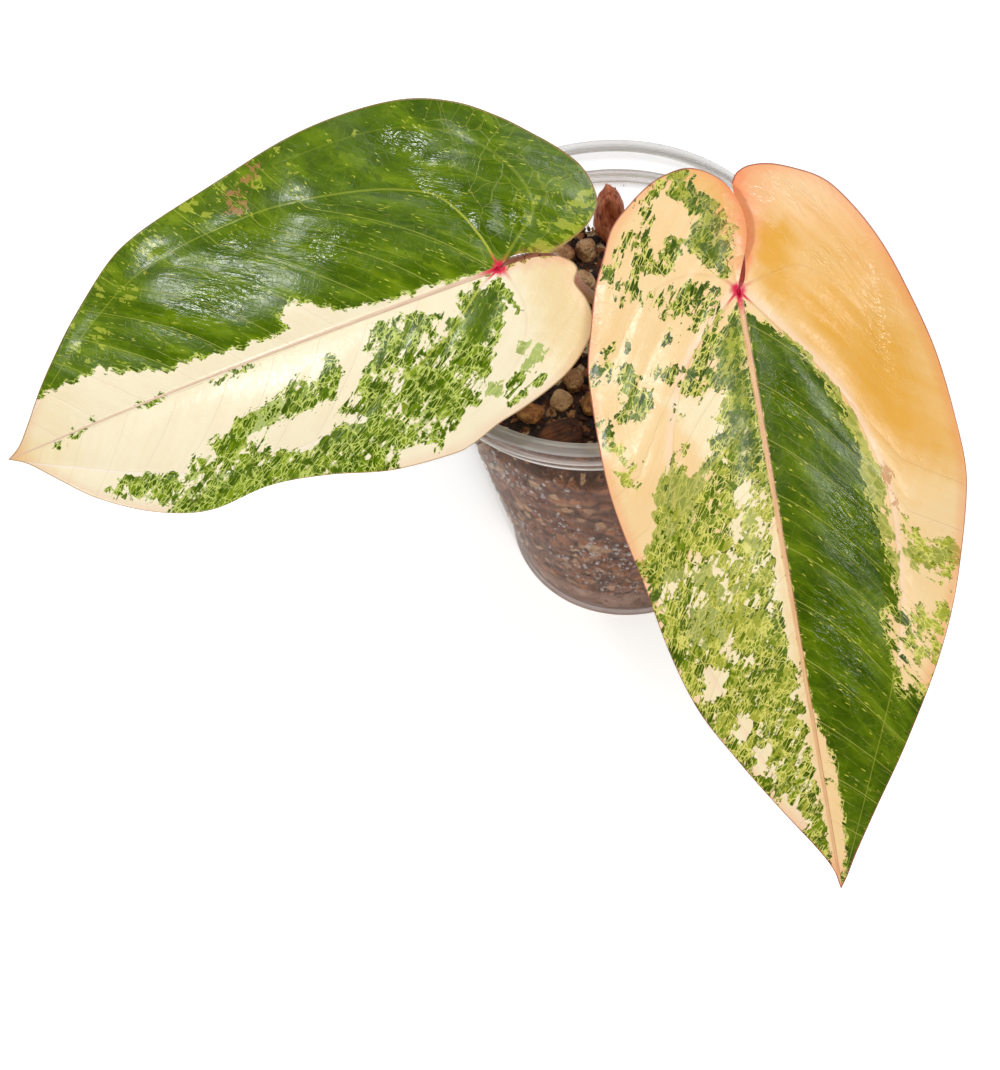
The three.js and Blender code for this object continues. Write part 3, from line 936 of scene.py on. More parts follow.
@dataclass(frozen=True)
class LeafFinish:
    """The colours of one leaf."""

    deep: Colour
    green: Colour
    light: Colour
    lime: Colour
    thin: Colour
    lace: Colour
    pale: Colour
    warm: Colour
    hot: Colour
    blush: Colour
    halo: Colour
    rib: Colour
    rib_shade: Colour
    margin: Colour
    scar: Colour
    rosy: float
    ring: float
    junction: Colour
    under: Colour
    specular: float = 0.3

    def material(self, name: str) -> bpy.types.Material:
        """Writes the leaf's finish.

        Pale tissue runs from cream to peach by the blade's warmth. Green tissue lies over it where
        the mosaic shows it, with a thin ring of lighter green round each patch. Veins, midrib,
        margin and junction are drawn from the distances that the blade stores.

        Args:
            name: The material's name.

        Returns:
            The material.
        """
        material, write, shader = new_material(name)
        place = write.vector("leaf_mm")
        flow = write.vector("flow_mm")
        upper = write.value("upper")
        density = write.value("green")
        tissue = self.tissue(write, place, flow, density, self.ring)
        film = self.tissue(write, write.scaled(place, 0.6), write.scaled(flow, 0.6), write.value("thin"))
        scars = self.tissue(write, place, flow, write.value("speck"))
        mottled = write.rise(density, 0.99, 0.86)
        green = self.green_tissue(write, place, flow, tissue["Draw"], mottled)
        green = write.over(tissue["Rim"], 0.7, green, self.deep)
        patchy = write.rise(write.noise(place, 3.4, 3.0), 0.38, 0.52)
        lace = write.times(tissue["Lace"], write.times(mottled, patchy))
        green = write.over(lace, 0.85, green, self.lace)
        film_shade = write.plus(film["Draw"], 0.4, write.noise(place, 2.2, 5.0, 0.65))
        thin = write.mix(write.rise(film_shade, 0.45, 0.9), self.thin, self.light)
        thin = write.over(film["Lace"], 0.4, thin, self.lace)
        colour = write.over(film["Mask"], 0.85, self.pale_tissue(write, place, flow), thin)
        colour = write.over(tissue["Thin"], 0.7, colour, thin)
        colour = write.mix(tissue["Mask"], colour, green)
        colour, veins = self.veined(write, place, colour, tissue["Mask"])
        colour = write.over(scars["Mask"], 0.75, colour, self.scar)
        colour = self.edged(write, place, colour, tissue["Mask"])
        faded = write.mix(0.55, colour, self.under)
        write.feed(shader["Base Color"], write.mix(upper, faded, colour))
        self.surface(write, shader, place, flow, veins, upper)
        return material

    @staticmethod
    def tissue(write: Nodes, place: Socket, flow: Socket, density: Socket, ring: float = 0.0) -> Outputs:
        """Places the mosaic for one kind of tissue."""
        given = {"Place": place, "Flow": flow, "Density": density, "Ring": ring}
        return effects.use(write, "mosaic", given).outputs

    @staticmethod
    def line(write: Nodes, distance: Socket, half_width: float) -> Socket:
        """Places the line effect for one kind of vein."""
        return effects.use(write, "line", {"Distance": distance, "Half Width": half_width}).outputs[0]

    def pale_tissue(self, write: Nodes, place: Socket, flow: Socket) -> Socket:
        """Cream to peach to gold by the stored warmth, clouded along the side veins.

        A lighter halo follows each basal vein on its outer side.

        Args:
            write: The material's writer.
            place: Where it lies on the leaf.
            flow: The same with side veins upright.

        Returns:
            The colour.
        """
        streaks = write.noise(write.scaled(flow, (1.0, 0.3, 1.0)), 3.2, 4.0)
        drift = write.plus(write.noise(place, 14.0, 3.0), 0.24, write.plus(streaks, 0.3, -0.15))
        warmth = write.math("ADD", write.value("warm"), write.less(drift, 0.12), clamp=True)
        colour = write.ramp(warmth, (0.0, self.pale), (0.5, self.warm), (1.0, self.hot))
        beyond = write.value("basal")
        halo = write.times(write.rise(beyond, 6.5, 1.5), write.rise(beyond, 0.0, 0.8))
        return write.over(halo, 0.6, colour, self.halo)

    def green_tissue(
        self, write: Nodes, place: Socket, flow: Socket, draw: Socket, mottled: Socket
    ) -> Socket:
        """Deep to light green in soft clouds, lime where stored, with short pale dashes.

        Args:
            write: The material's writer.
            place: Where it lies on the leaf.
            flow: The same with side veins upright.
            draw: Each mosaic cell's draw.
            mottled: How broken the tissue is.

        Returns:
            The colour.
        """
        cloud = write.noise(write.scaled(write.shaken(flow, 8.0, 3.0), (1.0, 0.6, 1.0)), 6.5, 6.0, 0.6)
        shade = write.plus(write.less(draw, 0.5), write.plus(mottled, 0.44, 0.1), cloud)
        colour = write.ramp(shade, (0.32, self.deep), (0.52, self.green), (0.78, self.light))
        lime = self.tissue(write, place, flow, write.value("lime"), 0.1)
        colour = write.over(write.value("lime"), 0.6, colour, self.light)
        colour = write.over(lime["Thin"], 0.35, colour, self.light)
        colour = write.over(lime["Mask"], 0.5, colour, self.lime)
        dashes = write.cells(write.scaled(write.shaken(flow, 4.0, 1.2), (2.3, 0.75, 1.0)), 1.0)
        clustered = write.rise(write.noise(place, 9.0, 3.0), 0.4, 0.66, 0.98, 0.82)
        clustered = write.plus(mottled, -0.1, clustered)
        rare = write.rise(write.less(write.drawn(dashes), clustered), 0.0, 0.01)
        short = write.rise(dashes.outputs["Distance"], 0.4, 0.25)
        dash = write.mix(mottled, self.lime, self.lace)
        return write.mix(write.times(rare, write.times(short, 0.9)), colour, dash)

    def veined(self, write: Nodes, place: Socket, colour: Socket, green: Socket) -> tuple[Socket, Socket]:
        """Draws the fine net, the side and basal veins and the midrib over a colour, one rib edge in painted
        shade.

        Args:
            write: The material's writer.
            place: Where it lies on the leaf.
            colour: The tissue's colour.
            green: Where the tissue is green.

        Returns:
            The colour, and the strength of all veins for the relief.
        """
        bent = write.shaken(place, 6.0, 1.2)
        coarse = write.rise(write.borders(bent, 4.6), 0.03, 0.008)
        finer = write.rise(write.borders(bent, 1.5), 0.08, 0.02)
        lateral = write.value("lateral")
        side = self.line(write, write.less(write.math("FRACT", lateral), 0.5), 0.012)
        between = write.plus(write.noise(place, 7.0, 2.0), 0.8, write.plus(lateral, 3.0, 0.35))
        slight = self.line(write, write.less(write.math("FRACT", between), 0.5), 0.035)
        broken = write.rise(write.noise(place, 4.0, 3.0), 0.42, 0.56, 0.0, 0.3)
        slight = write.times(slight, broken)
        basal = self.line(write, write.value("basal"), 0.7)
        second = self.line(write, write.value("second"), 1.0)
        rib = write.value("rib")
        middle = self.line(write, rib, 1.0)
        away = write.length(place)
        main = write.most(basal, write.times(second, 0.4))
        main = write.times(main, write.rise(away, 6.0, 34.0, 1.0, 0.4))
        lines = write.most(main, write.times(side, 0.6))
        meshed = write.times(coarse, write.plus(write.value("lobe"), 0.2, 0.08))
        veil = write.most(write.most(lines, slight), meshed)
        on_green = write.over(veil, 0.72, colour, self.lime)
        on_pale = write.over(lines, 0.26, colour, self.rib_shade)
        colour = write.mix(green, on_pale, on_green)
        colour = write.mix(write.times(main, write.rise(away, 5.0, 1.5)), colour, self.junction)
        streak = write.rise(write.noise(write.scaled(place, (0.12, 2.0, 1.0)), 1.0, 3.0), 0.35, 0.7, 0.0, 0.3)
        flesh = write.mix(streak, self.rib, self.rib_shade)
        flesh = write.mix(write.rise(away, 6.5, 1.5), flesh, self.junction)
        colour = write.mix(middle, colour, flesh)
        # Painted shade: a darker line along the midrib's edge on its positive side.
        shade = write.rise(write.apart(rib, 0.95), 0.28, 0.08)
        colour = write.over(shade, 0.75, colour, self.rib_shade)
        return colour, write.plus(finer, 0.09, write.times(veil, 0.6))

    def edged(self, write: Nodes, place: Socket, colour: Socket, green: Socket) -> Socket:
        """Adds the blush, a rosy band inside the margin, its thin dark line and the junction.

        Args:
            write: The material's writer.
            place: Where it lies on the leaf.
            colour: The tissue's colour.
            green: Where the tissue is green.

        Returns:
            The colour.
        """
        colour = write.over(write.value("blush"), 0.9, colour, self.blush)
        edge = write.value("edge")
        rosy = write.times(write.rise(edge, 3.2, 0.3), write.less(1.0, green))
        colour = write.over(rosy, self.rosy, colour, self.blush)
        colour = write.over(write.rise(edge, 0.42, 0.16), 0.8, colour, self.margin)
        hub = write.rise(write.length(write.shaken(place, 2.0, 0.7)), 2.2, 0.9)
        return write.mix(hub, colour, self.junction)

    def surface(
        self, write: Nodes, shader: dict, place: Socket, flow: Socket, veins: Socket, upper: Socket
    ) -> None:
        """Sets the gloss and the low relief: sunken veins, crinkles along them and a papery skin.

        Args:
            write: The material's writer.
            shader: The shader's inputs.
            place: Where it lies on the leaf.
            flow: The same with side veins upright.
            veins: The strength of all veins.
            upper: 1 on the upper side and 0 below.
        """
        taut = write.value("crisp")
        crinkle = write.noise(write.scaled(write.shaken(flow, 5.0, 2.2), (1.0, 0.34, 1.0)), 1.8, 1.5, 0.5)
        ridge = write.rise(write.apart(crinkle, 0.5), 0.0, 0.16)
        meshes = write.rise(write.borders(write.shaken(place, 3.0, 0.8), 1.9), 0.24, 0.04)
        blister = write.cells(write.shaken(place, 3.0, 0.6), 2.3).outputs["Distance"]
        height = write.plus(veins, -0.6, write.times(write.noise(place, 0.9, 1.0, 0.5), 0.05))
        height = write.plus(ridge, write.plus(taut, 0.75, 0.05), height)
        height = write.plus(write.times(meshes, taut), -0.15, height)
        height = write.plus(write.rise(blister, 0.75, 0.1), 0.1, height)
        write.feed(shader["Normal"], write.bump(height, 0.17, 0.9))
        gloss = write.rise(write.noise(place, 5.0, 4.0), 0.3, 0.7, 0.2, 0.28)
        gloss = write.plus(write.rise(taut, 0.05, 0.6), -0.08, gloss)
        write.feed(shader["Roughness"], write.plus(write.less(1.0, upper), 0.25, gloss))
        shader["Specular IOR Level"].default_value = self.specular


@dataclass
class Blade:
    """One leaf blade: the frame's own sheet, worked out finely, with relief and stored markings."""

    name: str
    node: str
    slot: str
    junction: tuple
    axis: tuple
    face: tuple
    length: float
    arch: float
    ripple: float
    sides: tuple[Side, Side]
    patches: tuple[Patch, ...]
    folds: tuple[Fold, ...]
    basal: tuple
    second: tuple
    rib_bend: float
    rib_half: tuple[float, float]
    finish: LeafFinish
    crease: float = 2.0
    crease_width: float = 7.0
    dome: float = 5.0
    half_width: float = 40.0
    ripple_pitch: float = 43.0
    rays_per_side: int = 190
    levels: int = 112
    thickness: float = 0.56
    lateral_pitch: float = 12.5
    vein_depth: float = 0.16
    vein_width: float = 0.16
    basal_depth: float = 0.3
    basal_width: float = 2.4
    basal_half: float = 0.42
    bulge: float = 0.36
    bulge_pitch: float = 13.0
    pucker: float = 0.07
    pucker_pitch: float = 4.6
    ridge: float = 0.35
    rib_swelling: float = 0.9
    vein_swelling: float = 0.3

    def axes(self) -> Array:
        """The leaf plane's directions: along, across and above it.

        Returns:
            Unit vectors, one to a row.
        """
        along = np.array(self.axis) / np.linalg.norm(self.axis)
        above = np.array(self.face) - np.dot(self.face, along) * along
        above /= np.linalg.norm(above)
        return np.stack([along, np.cross(above, along), above])

    def placed(self, local: Array) -> Array:
        """Points given along, across and above, in the frame's axes."""
        return np.array(self.junction) + local @ self.axes()

    def rays(self) -> dict[str, Array]:
        """Rays from the junction to the margin.

        They run from the sinus round the first side to the tip, and back along the second side. Each
        ends on its side's margin curve, and `swing` is its angle from that side's sinus ray.

        Returns:
            For each ray its end, its swing, its side and the bend of its sinus edge.
        """
        parts: dict[str, list] = {key: [] for key in ("end", "swing", "side", "bow", "peak", "lift")}
        for number, side in enumerate(self.sides):
            ends = spline(np.array(side.outline, float), self.rays_per_side + 1)
            sinus = ends[0] / np.linalg.norm(ends[0])
            cosine = ends @ sinus / np.linalg.norm(ends, axis=1)
            rows = slice(None) if number == 0 else slice(-2, None, -1)
            parts["end"].append(ends[rows])
            parts["swing"].append(np.arccos(np.clip(cosine, -1, 1))[rows])
            bends = {"side": number, "bow": side.bow, "peak": side.bow_peak, "lift": side.lift}
            for key, value in bends.items():
                parts[key].append(np.full(len(ends[rows]), float(value)))
        return {key: np.concatenate(value) for key, value in parts.items()}

    def height(self, u: Array, v: Array) -> Array:
        """Height of the sheet above the leaf plane.

        An arch along the midrib, a crease beside it, a dome that lowers the margins, and a ripple
        that grows outwards.

        Args:
            u: Places along the leaf.
            v: Places across it.

        Returns:
            The heights.
        """
        run = u / self.length
        out = np.abs(v)
        phase = np.where(v > 0, 1.1, 3.0)
        wave = np.sin(2 * np.pi * u / self.ripple_pitch + phase)
        return (
            4 * self.arch * run * (1 - run)
            + self.crease * (1 - np.exp(-out / self.crease_width))
            - self.dome * (out / self.half_width) ** 2
            + self.ripple * wave * smoothstep(out, self.crease_width, self.half_width)
        )

    def along_veins(self, u: Array, v: Array) -> Array:
        """A length that stays the same along a side vein, which leaves the midrib and bends forward."""
        out = np.abs(v)
        return u - 0.7 * out - 0.02 * np.minimum(out, 28.0) ** 2

    def lateral(self, u: Array, v: Array) -> Array:
        """A number that passes a half at each side vein, at slightly uneven steps."""
        drift = 0.22 * soft_noise(np.stack([u, v], -1), 34.0, 23)
        return self.along_veins(u, v) / self.lateral_pitch + np.where(v > 0, 0.0, 0.45) + drift

    def relief(self, u: Array, v: Array, rim: Array) -> Array:
        """What the sheet does beyond its main form.

        Narrow valleys along the side veins and the basal veins, bulges and hollows that follow the
        side veins, the folds, and a low ridge on the midrib. All but the ridge fade out at the
        margin.

        Args:
            u: Places along the leaf.
            v: Places across it.
            rim: Their distances to the margin.

        Returns:
            The added heights.
        """
        out = np.abs(v)
        phase = self.lateral(u, v) % 1.0 - 0.5
        valley = -self.vein_depth * np.exp(-((phase / self.vein_width) ** 2)) * smoothstep(out, 2.0, 8.0)
        width = self.basal_half * (1 - 0.5 * np.clip(u / self.length, 0, 1))
        near = self.basal_distance(u, v, self.basal) * width
        groove = self.basal_depth * np.exp(-((near / self.basal_width) ** 2))
        valley = valley - groove * smoothstep(out, 1.0, 5.0)
        flow = np.stack([self.along_veins(u, v), 0.45 * v], -1)
        bulge = self.bulge * soft_noise(flow, self.bulge_pitch, 5)
        bulge = bulge + self.pucker * soft_noise(flow, self.pucker_pitch, 9)
        bulge = bulge + sum(fold.height(u, v) for fold in self.folds)
        fade = smoothstep(rim, 0.0, 7.0)
        run = np.clip(u / self.length, 0, 1)
        middle = (v - self.rib_bend * np.sin(np.pi * run)) / (1.2 * blend(*self.rib_half, run))
        ridge = self.ridge * np.exp(-(middle**2)) * (u > 0) * (1 - 0.6 * run)
        return (valley + bulge * smoothstep(out, 1.5, 9.0)) * fade + ridge

    def sheet(self) -> dict[str, Array]:
        """The middle sheet on rays by levels.

        A level's place on its ray is scaled evenly. Near the sinus, it moves aside by a sine of its
        share of the ray, and up by the lift.

        Returns:
            The local points, the flat leaf coordinates and the distance to the margin.
        """
        rays = self.rays()
        share = (np.arange(1, self.levels + 1) / self.levels)[None]
        near = np.exp(-((rays["swing"] / 0.5) ** 2))[:, None]
        flat = rays["end"][:, None] * share[..., None]
        u = flat[..., 0]
        bend = rays["bow"][:, None] * near * np.sin(np.pi * share ** rays["peak"][:, None])
        v = flat[..., 1] + bend
        lift = rays["lift"][:, None] * near * smoothstep(np.hypot(u, v), 2.0, 12.0)
        rim = self.margin_distance(flat, rays["end"])
        w = self.height(u, v) + lift + self.relief(u, v, rim)
        side = np.broadcast_to(rays["side"][:, None], u.shape)
        return {"local": np.stack([u, v, w], -1), "flat": flat, "rim": rim, "side": side}

    @staticmethod
    def margin_distance(flat: Array, ends: Array) -> Array:
        """Distance to the nearest point of the margin.

        Args:
            flat: Places on the leaf plane, rays by levels.
            ends: The margin's points.

        Returns:
            The distances, rays by levels.
        """
        found = np.empty(flat.shape[:2])
        for row, places in enumerate(flat):
            found[row] = np.linalg.norm(places[:, None] - ends[None], axis=2).min(1)
        return found

    def skin(self, sheet: dict[str, Array]) -> Surface:
        """The closed blade: the sheet raised and lowered by half its thickness, thinner at the margin.

        Args:
            sheet: The middle sheet's points and margin distances.

        Returns:
            The blade, with the upper side's points first.
        """
        half = 0.5 * self.thickness * (0.45 + 0.55 * smoothstep(sheet["rim"], 0.0, 2.5))
        local = sheet["local"]
        rib = self.rib_swell(local[..., 0], local[..., 1])
        raised = local + np.stack([0 * half, 0 * half, half], -1)
        lowered = local - np.stack([0 * half, 0 * half, half + rib], -1)
        hub = np.array([[0, 0, 0.5 * self.thickness], [0, 0, -0.5 * self.thickness - 0.3]])
        rays, levels = local.shape[:2]
        grid = rays * levels
        points = np.vstack([raised.reshape(-1, 3), lowered.reshape(-1, 3), hub])
        upper = net(rays, levels, False)
        first = np.arange(rays - 1) * levels
        fan = np.stack([np.full(rays - 1, 2 * grid), first, first + levels], -1)
        under = np.stack([np.full(rays - 1, 2 * grid + 1), grid + first + levels, grid + first], -1)
        rim = first + levels - 1
        wall = np.stack([rim, grid + rim, grid + rim + levels, rim + levels], -1)
        step = np.arange(levels - 1)
        start = np.stack([step, grid + step, grid + step + 1, step + 1], -1)
        last = step + (rays - 1) * levels
        end = np.stack([last + 1, grid + last + 1, grid + last, last], -1)
        hubs = (2 * grid, 2 * grid + 1)
        closing = np.array([[hubs[0], hubs[1], grid, 0], [last[0], grid + last[0], hubs[1], hubs[0]]])
        quads = np.vstack([upper[:, ::-1], upper + grid, wall, start, end, closing])
        return Surface(self.placed(points), quads, np.vstack([fan, under]))

    def rib_swell(self, u: Array, v: Array) -> Array:
        """How far the midrib and the basal veins stand out under the blade: a bell across each.

        Args:
            u: Places along the leaf.
            v: Places across it.

        Returns:
            The swellings.
        """
        run = np.clip(u / self.length, 0, 1)
        width = 1.3 * (1 - 0.75 * run)
        rib = self.rib_swelling * np.exp(-((v / width) ** 2)) * (u > -1) * (1 - 0.8 * run)
        lines = self.vein_swelling * np.exp(-((self.basal_distance(u, v, self.basal) / 1.5) ** 2))
        return rib + lines

    def basal_distance(self, u: Array, v: Array, veins: tuple) -> Array:
        """Signed distance to a side's basal vein in half widths, positive towards the margin.

        Args:
            u: Places along the leaf.
            v: Places across it.
            veins: One line of points for each side.

        Returns:
            The distance over the vein's half width, which tapers along it.
        """
        places = np.stack([u, v], -1)
        best = np.full(u.shape, 60.0)
        for sign, line in zip((-1.0, 1.0), veins):
            path = evenly(spline(np.array(line, float), 200, 0.5), 60)
            start, edge = path[:-1], np.diff(path, axis=0)
            mine = v * sign > 0 if sign > 0 else v <= 0
            spot = places[mine][:, None]
            share = np.clip(((spot - start) * edge).sum(-1) / (edge**2).sum(-1), 0, 1)
            gap = spot - start - share[..., None] * edge
            away = np.linalg.norm(gap, axis=-1)
            pick = away.argmin(1)
            row = np.arange(len(pick))
            turn = edge[pick, 0] * gap[row, pick, 1] - edge[pick, 1] * gap[row, pick, 0]
            taper = self.basal_half * (1 - 0.7 * pick / len(edge))
            best[mine] = away[row, pick] * np.sign(turn + 1e-9) * sign / taper
        return best

    def painted(self, flat: Array) -> dict[Layer, Array]:
        """The blade's tissue, patch over patch, at places shaken a little so no edge runs straight.

        Args:
            flat: Places on the leaf plane.

        Returns:
            For each layer, how much of it each place holds.
        """
        u, v = flat.T
        shake = np.stack([np.sin(1.5 * v + 0.8 * u), np.sin(1.3 * u - 0.9 * v + 2)], -1)
        shake += 0.5 * np.stack([np.sin(3.9 * v - 2.2 * u), np.sin(3.4 * u + 2.8 * v)], -1)
        places = flat + 0.42 * shake
        layers = {layer: np.zeros(len(flat)) for layer in Layer}
        for patch in self.patches:
            held = layers[patch.layer]
            layers[patch.layer] = blend(held, patch.strength, patch.cover(places))
        return layers

    def build(self) -> bpy.types.Object:
        """Makes the blade, stores what its finish reads and dresses it.

        Returns:
            The piece.
        """
        sheet = self.sheet()
        piece = self.skin(sheet).piece(self.name)
        u, v = sheet["local"][..., 0].ravel(), sheet["local"][..., 1].ravel()
        rim = sheet["rim"].ravel()
        values = {layer.value: held for layer, held in self.painted(sheet["flat"].reshape(-1, 2)).items()}
        run = np.clip(u / self.length, 0, 1)
        bend = self.rib_bend * np.sin(np.pi * run)
        values["rib"] = np.where(u < -0.5, 30.0, (v - bend) / blend(*self.rib_half, run))
        values["basal"] = self.basal_distance(u, v, self.basal)
        values["second"] = self.basal_distance(u, v, self.second)
        lateral = self.lateral(u, v)
        values["lateral"] = np.where(lateral < 0.1, 0.0, lateral)
        values["lobe"] = smoothstep(-u, -14.0, 6.0)
        values["crisp"] = np.clip(sum(fold.share(u, v) for fold in self.folds), 0, 1)
        values["edge"] = rim
        hubs = {"edge": 20.0, "rib": 0.0, "basal": 0.0, "second": 0.0}
        for key, held in values.items():
            both = np.concatenate([held, held, np.full(2, hubs.get(key, held[0]))])
            put_values(piece, key, both)
        for key, first in (("leaf_mm", u), ("flow_mm", self.along_veins(u, v))):
            flat = np.stack([first, v, 0 * u], -1)
            put_values(piece, key, np.vstack([flat, flat, np.zeros((2, 3))]))
        put_values(piece, "upper", np.concatenate([np.ones(len(u)), np.zeros(len(u)), [1, 0]]))
        seat(piece, self.slot, self.finish.material(self.name + "_tissue"), self.node)
        return piece


def area(layer: Layer, strength: float, *outline: tuple, feather: float = 1.1) -> Patch:
    """A patch from its outline points."""
    return Patch(layer, strength, outline, feather)


GREEN, THIN, LIME, WARM, BLUSH, SPECK = Layer

LEFT_PATCHES = (
    area(GREEN, 1.0, (0, 0), (9.5, -1), (13.5, -1.5), (21, -2), (28, -2.5), (35, -3.5), (41, -6.5),
         (46.5, -10.5), (50.5, -8), (50, -4.5), (55.5, -4), (60.5, -4.5), (68.5, -5), (72.5, -6), (76, -6),
         (81, -5.5), (88, -8.5), (93, -9.5), (97.5, -12), (101, -11.5), (113.5, -11), (130, -12),
         (120, -60), (-60, -60), (-60, 12), (-20, 3.2), feather=0.9),
    area(LIME, 0.22, (-9, -12), (-18, -12), (-30, -10), (-30, 4), (-10, 3), (-5, -1.5), (-7.5, -7),
         feather=2.5),
    area(LIME, 0.62, (-7.5, -2.2), (-14, -2.8), (-19, -4.5), (-23, -9), (-30, -8), (-28, 4), (-9, 2),
         feather=1.8),
    area(LIME, 0.15, (8, -43), (60, -42), (100, -30), (112, -14), (96, -12), (86, -22), (60, -34),
         (28, -38), feather=3.0),
    area(GREEN, 0.78, (0.5, 3), (2.5, 10), (5, 14.5), (8, 18.5), (14, 24), (16.5, 26.5), (22, 29.5),
         (25.5, 31), (28.5, 34.5), (30, 38), (41, 38), (60, 32), (80, 32), (96, 25), (87, 21), (76.5, 18.5),
         (64, 21), (53, 22), (46, 20), (39, 18.5), (31, 16.5), (26, 13), (18.5, 9.5), (13.5, 6), (9.5, 1.5),
         (4, 1.5)),
    area(GREEN, 0.97, (1, 3), (3, 9), (8, 14), (13, 14), (12, 8), (8, 3), feather=1.8),
    area(GREEN, 0.78, (34.5, 5), (31, 1), (24.5, 1.2), (16, 4.5), (17.5, 9), (25.5, 12), (30, 14),
         (34.5, 11)),
    area(GREEN, 0.72, (33.5, 9), (38.5, 12), (42, 15), (47.5, 18.5), (46, 21), (37, 20), (29, 17),
         (27, 13)),
    area(GREEN, 0.8, (50, 12.5), (47, 6.5), (44, 4), (40.5, 6), (42, 10.5), (45.5, 14)),
    area(GREEN, 0.7, (47, 13), (53.5, 14.5), (62, 14), (65, 18), (67.5, 23), (86.5, 21), (87, 17.5),
         (78.5, 14), (69.5, 10.5), (64.5, 10), (57, 8), (50, 6)),
    area(GREEN, 0.05, (64, 17), (61, 15.5), (57, 15), (51.5, 16.5), (47, 17), (44.5, 19), (50.5, 20.5),
         (55, 22), (60, 21.5), (63.5, 20)),
    area(THIN, 0.6, (57, 9), (66, 11), (70, 14), (64, 15), (56, 13)),
    area(THIN, 0.45, (16, 17), (24, 20), (32, 23), (31, 26), (22, 24), (15, 20), feather=1.5),
    area(GREEN, 0.0, (37.5, 34), (36, 30.5), (32, 30), (28.5, 32), (29.5, 37), (36, 38)),
    area(GREEN, 0.72, (109, 15), (103.5, 14), (95.5, 14.5), (89.5, 17), (88, 21), (92, 24), (98.5, 22),
         (105, 19)),
    area(GREEN, 0.42, (119, 1.5), (115, 0.5), (110, -1), (103, -2.5), (104, -1), (111, 1.2), (116, 2.6),
         feather=0.5),
    area(GREEN, 0.55, (93, 0), (92, -1.5), (84.5, -1), (85, 0.5), (90.5, 0.8), feather=0.5),
    area(GREEN, 0.45, (74, 0.3), (69.5, -0.7), (59, -0.6), (60, 1.2), (68, 1.7), (72.5, 1.2), feather=0.5),
    area(GREEN, 0.7, (8, 26), (5.5, 22.5), (2.5, 23), (4.5, 27), feather=0.7),
    area(GREEN, 0.7, (2, 27), (0.5, 24.5), (-1.5, 26), (0, 28), feather=0.7),
    area(GREEN, 0.45, (10.5, 29), (8.5, 26.5), (3, 27), (5, 29.5), feather=0.8),
    area(THIN, 0.95, (14, 26), (12, 23), (7.5, 23.5), (9.5, 26.5), feather=0.6),
    area(THIN, 0.9, (4.5, 24), (2, 20.5), (-0.5, 22), (2, 25.5), feather=0.6),
    area(THIN, 0.9, (1, 21.5), (-1.5, 19), (-3.5, 20.5), (-1, 22.5), feather=0.6),
    area(THIN, 0.8, (3.5, 19), (1.5, 16.5), (-0.5, 17.5), (1.5, 20), feather=0.6),
    area(THIN, 0.4, (70, 30), (90, 27), (96, 22), (80, 20), (60, 22), feather=2.0),
    area(WARM, 0.1, (-30, -20), (140, -20), (140, 50), (-30, 50), feather=0.5),
    area(WARM, 0.5, (-22, 0), (-5, 2), (-3, 20), (-6, 32), (-22, 30), feather=5.0),
    area(WARM, 0.3, (136, 8), (112, 6), (106, -12), (136, -12), feather=8.0),
    area(WARM, 0.85, (136, 4), (129, 4), (124, 0), (127, -5), (136, -4), feather=5.0),
    area(BLUSH, 0.45, (-12, 4), (-4, 1.6), (0, 0.6), (-3, 0), (-14, 1.5), (-18, 4), feather=2.2),
    area(SPECK, 0.8, (55, -37.5), (53, -33), (49, -32), (48, -36), (52, -39), feather=0.8),
    area(SPECK, 0.62, (49, -39), (46, -38), (42, -41.5), (46, -43), feather=0.8),
    area(GREEN, 0.9, (0.5, 3.5), (-0.8, 6.5), (-1.2, 10.5), (0, 10.5), (0.6, 7), (1.5, 4), feather=0.4),
)

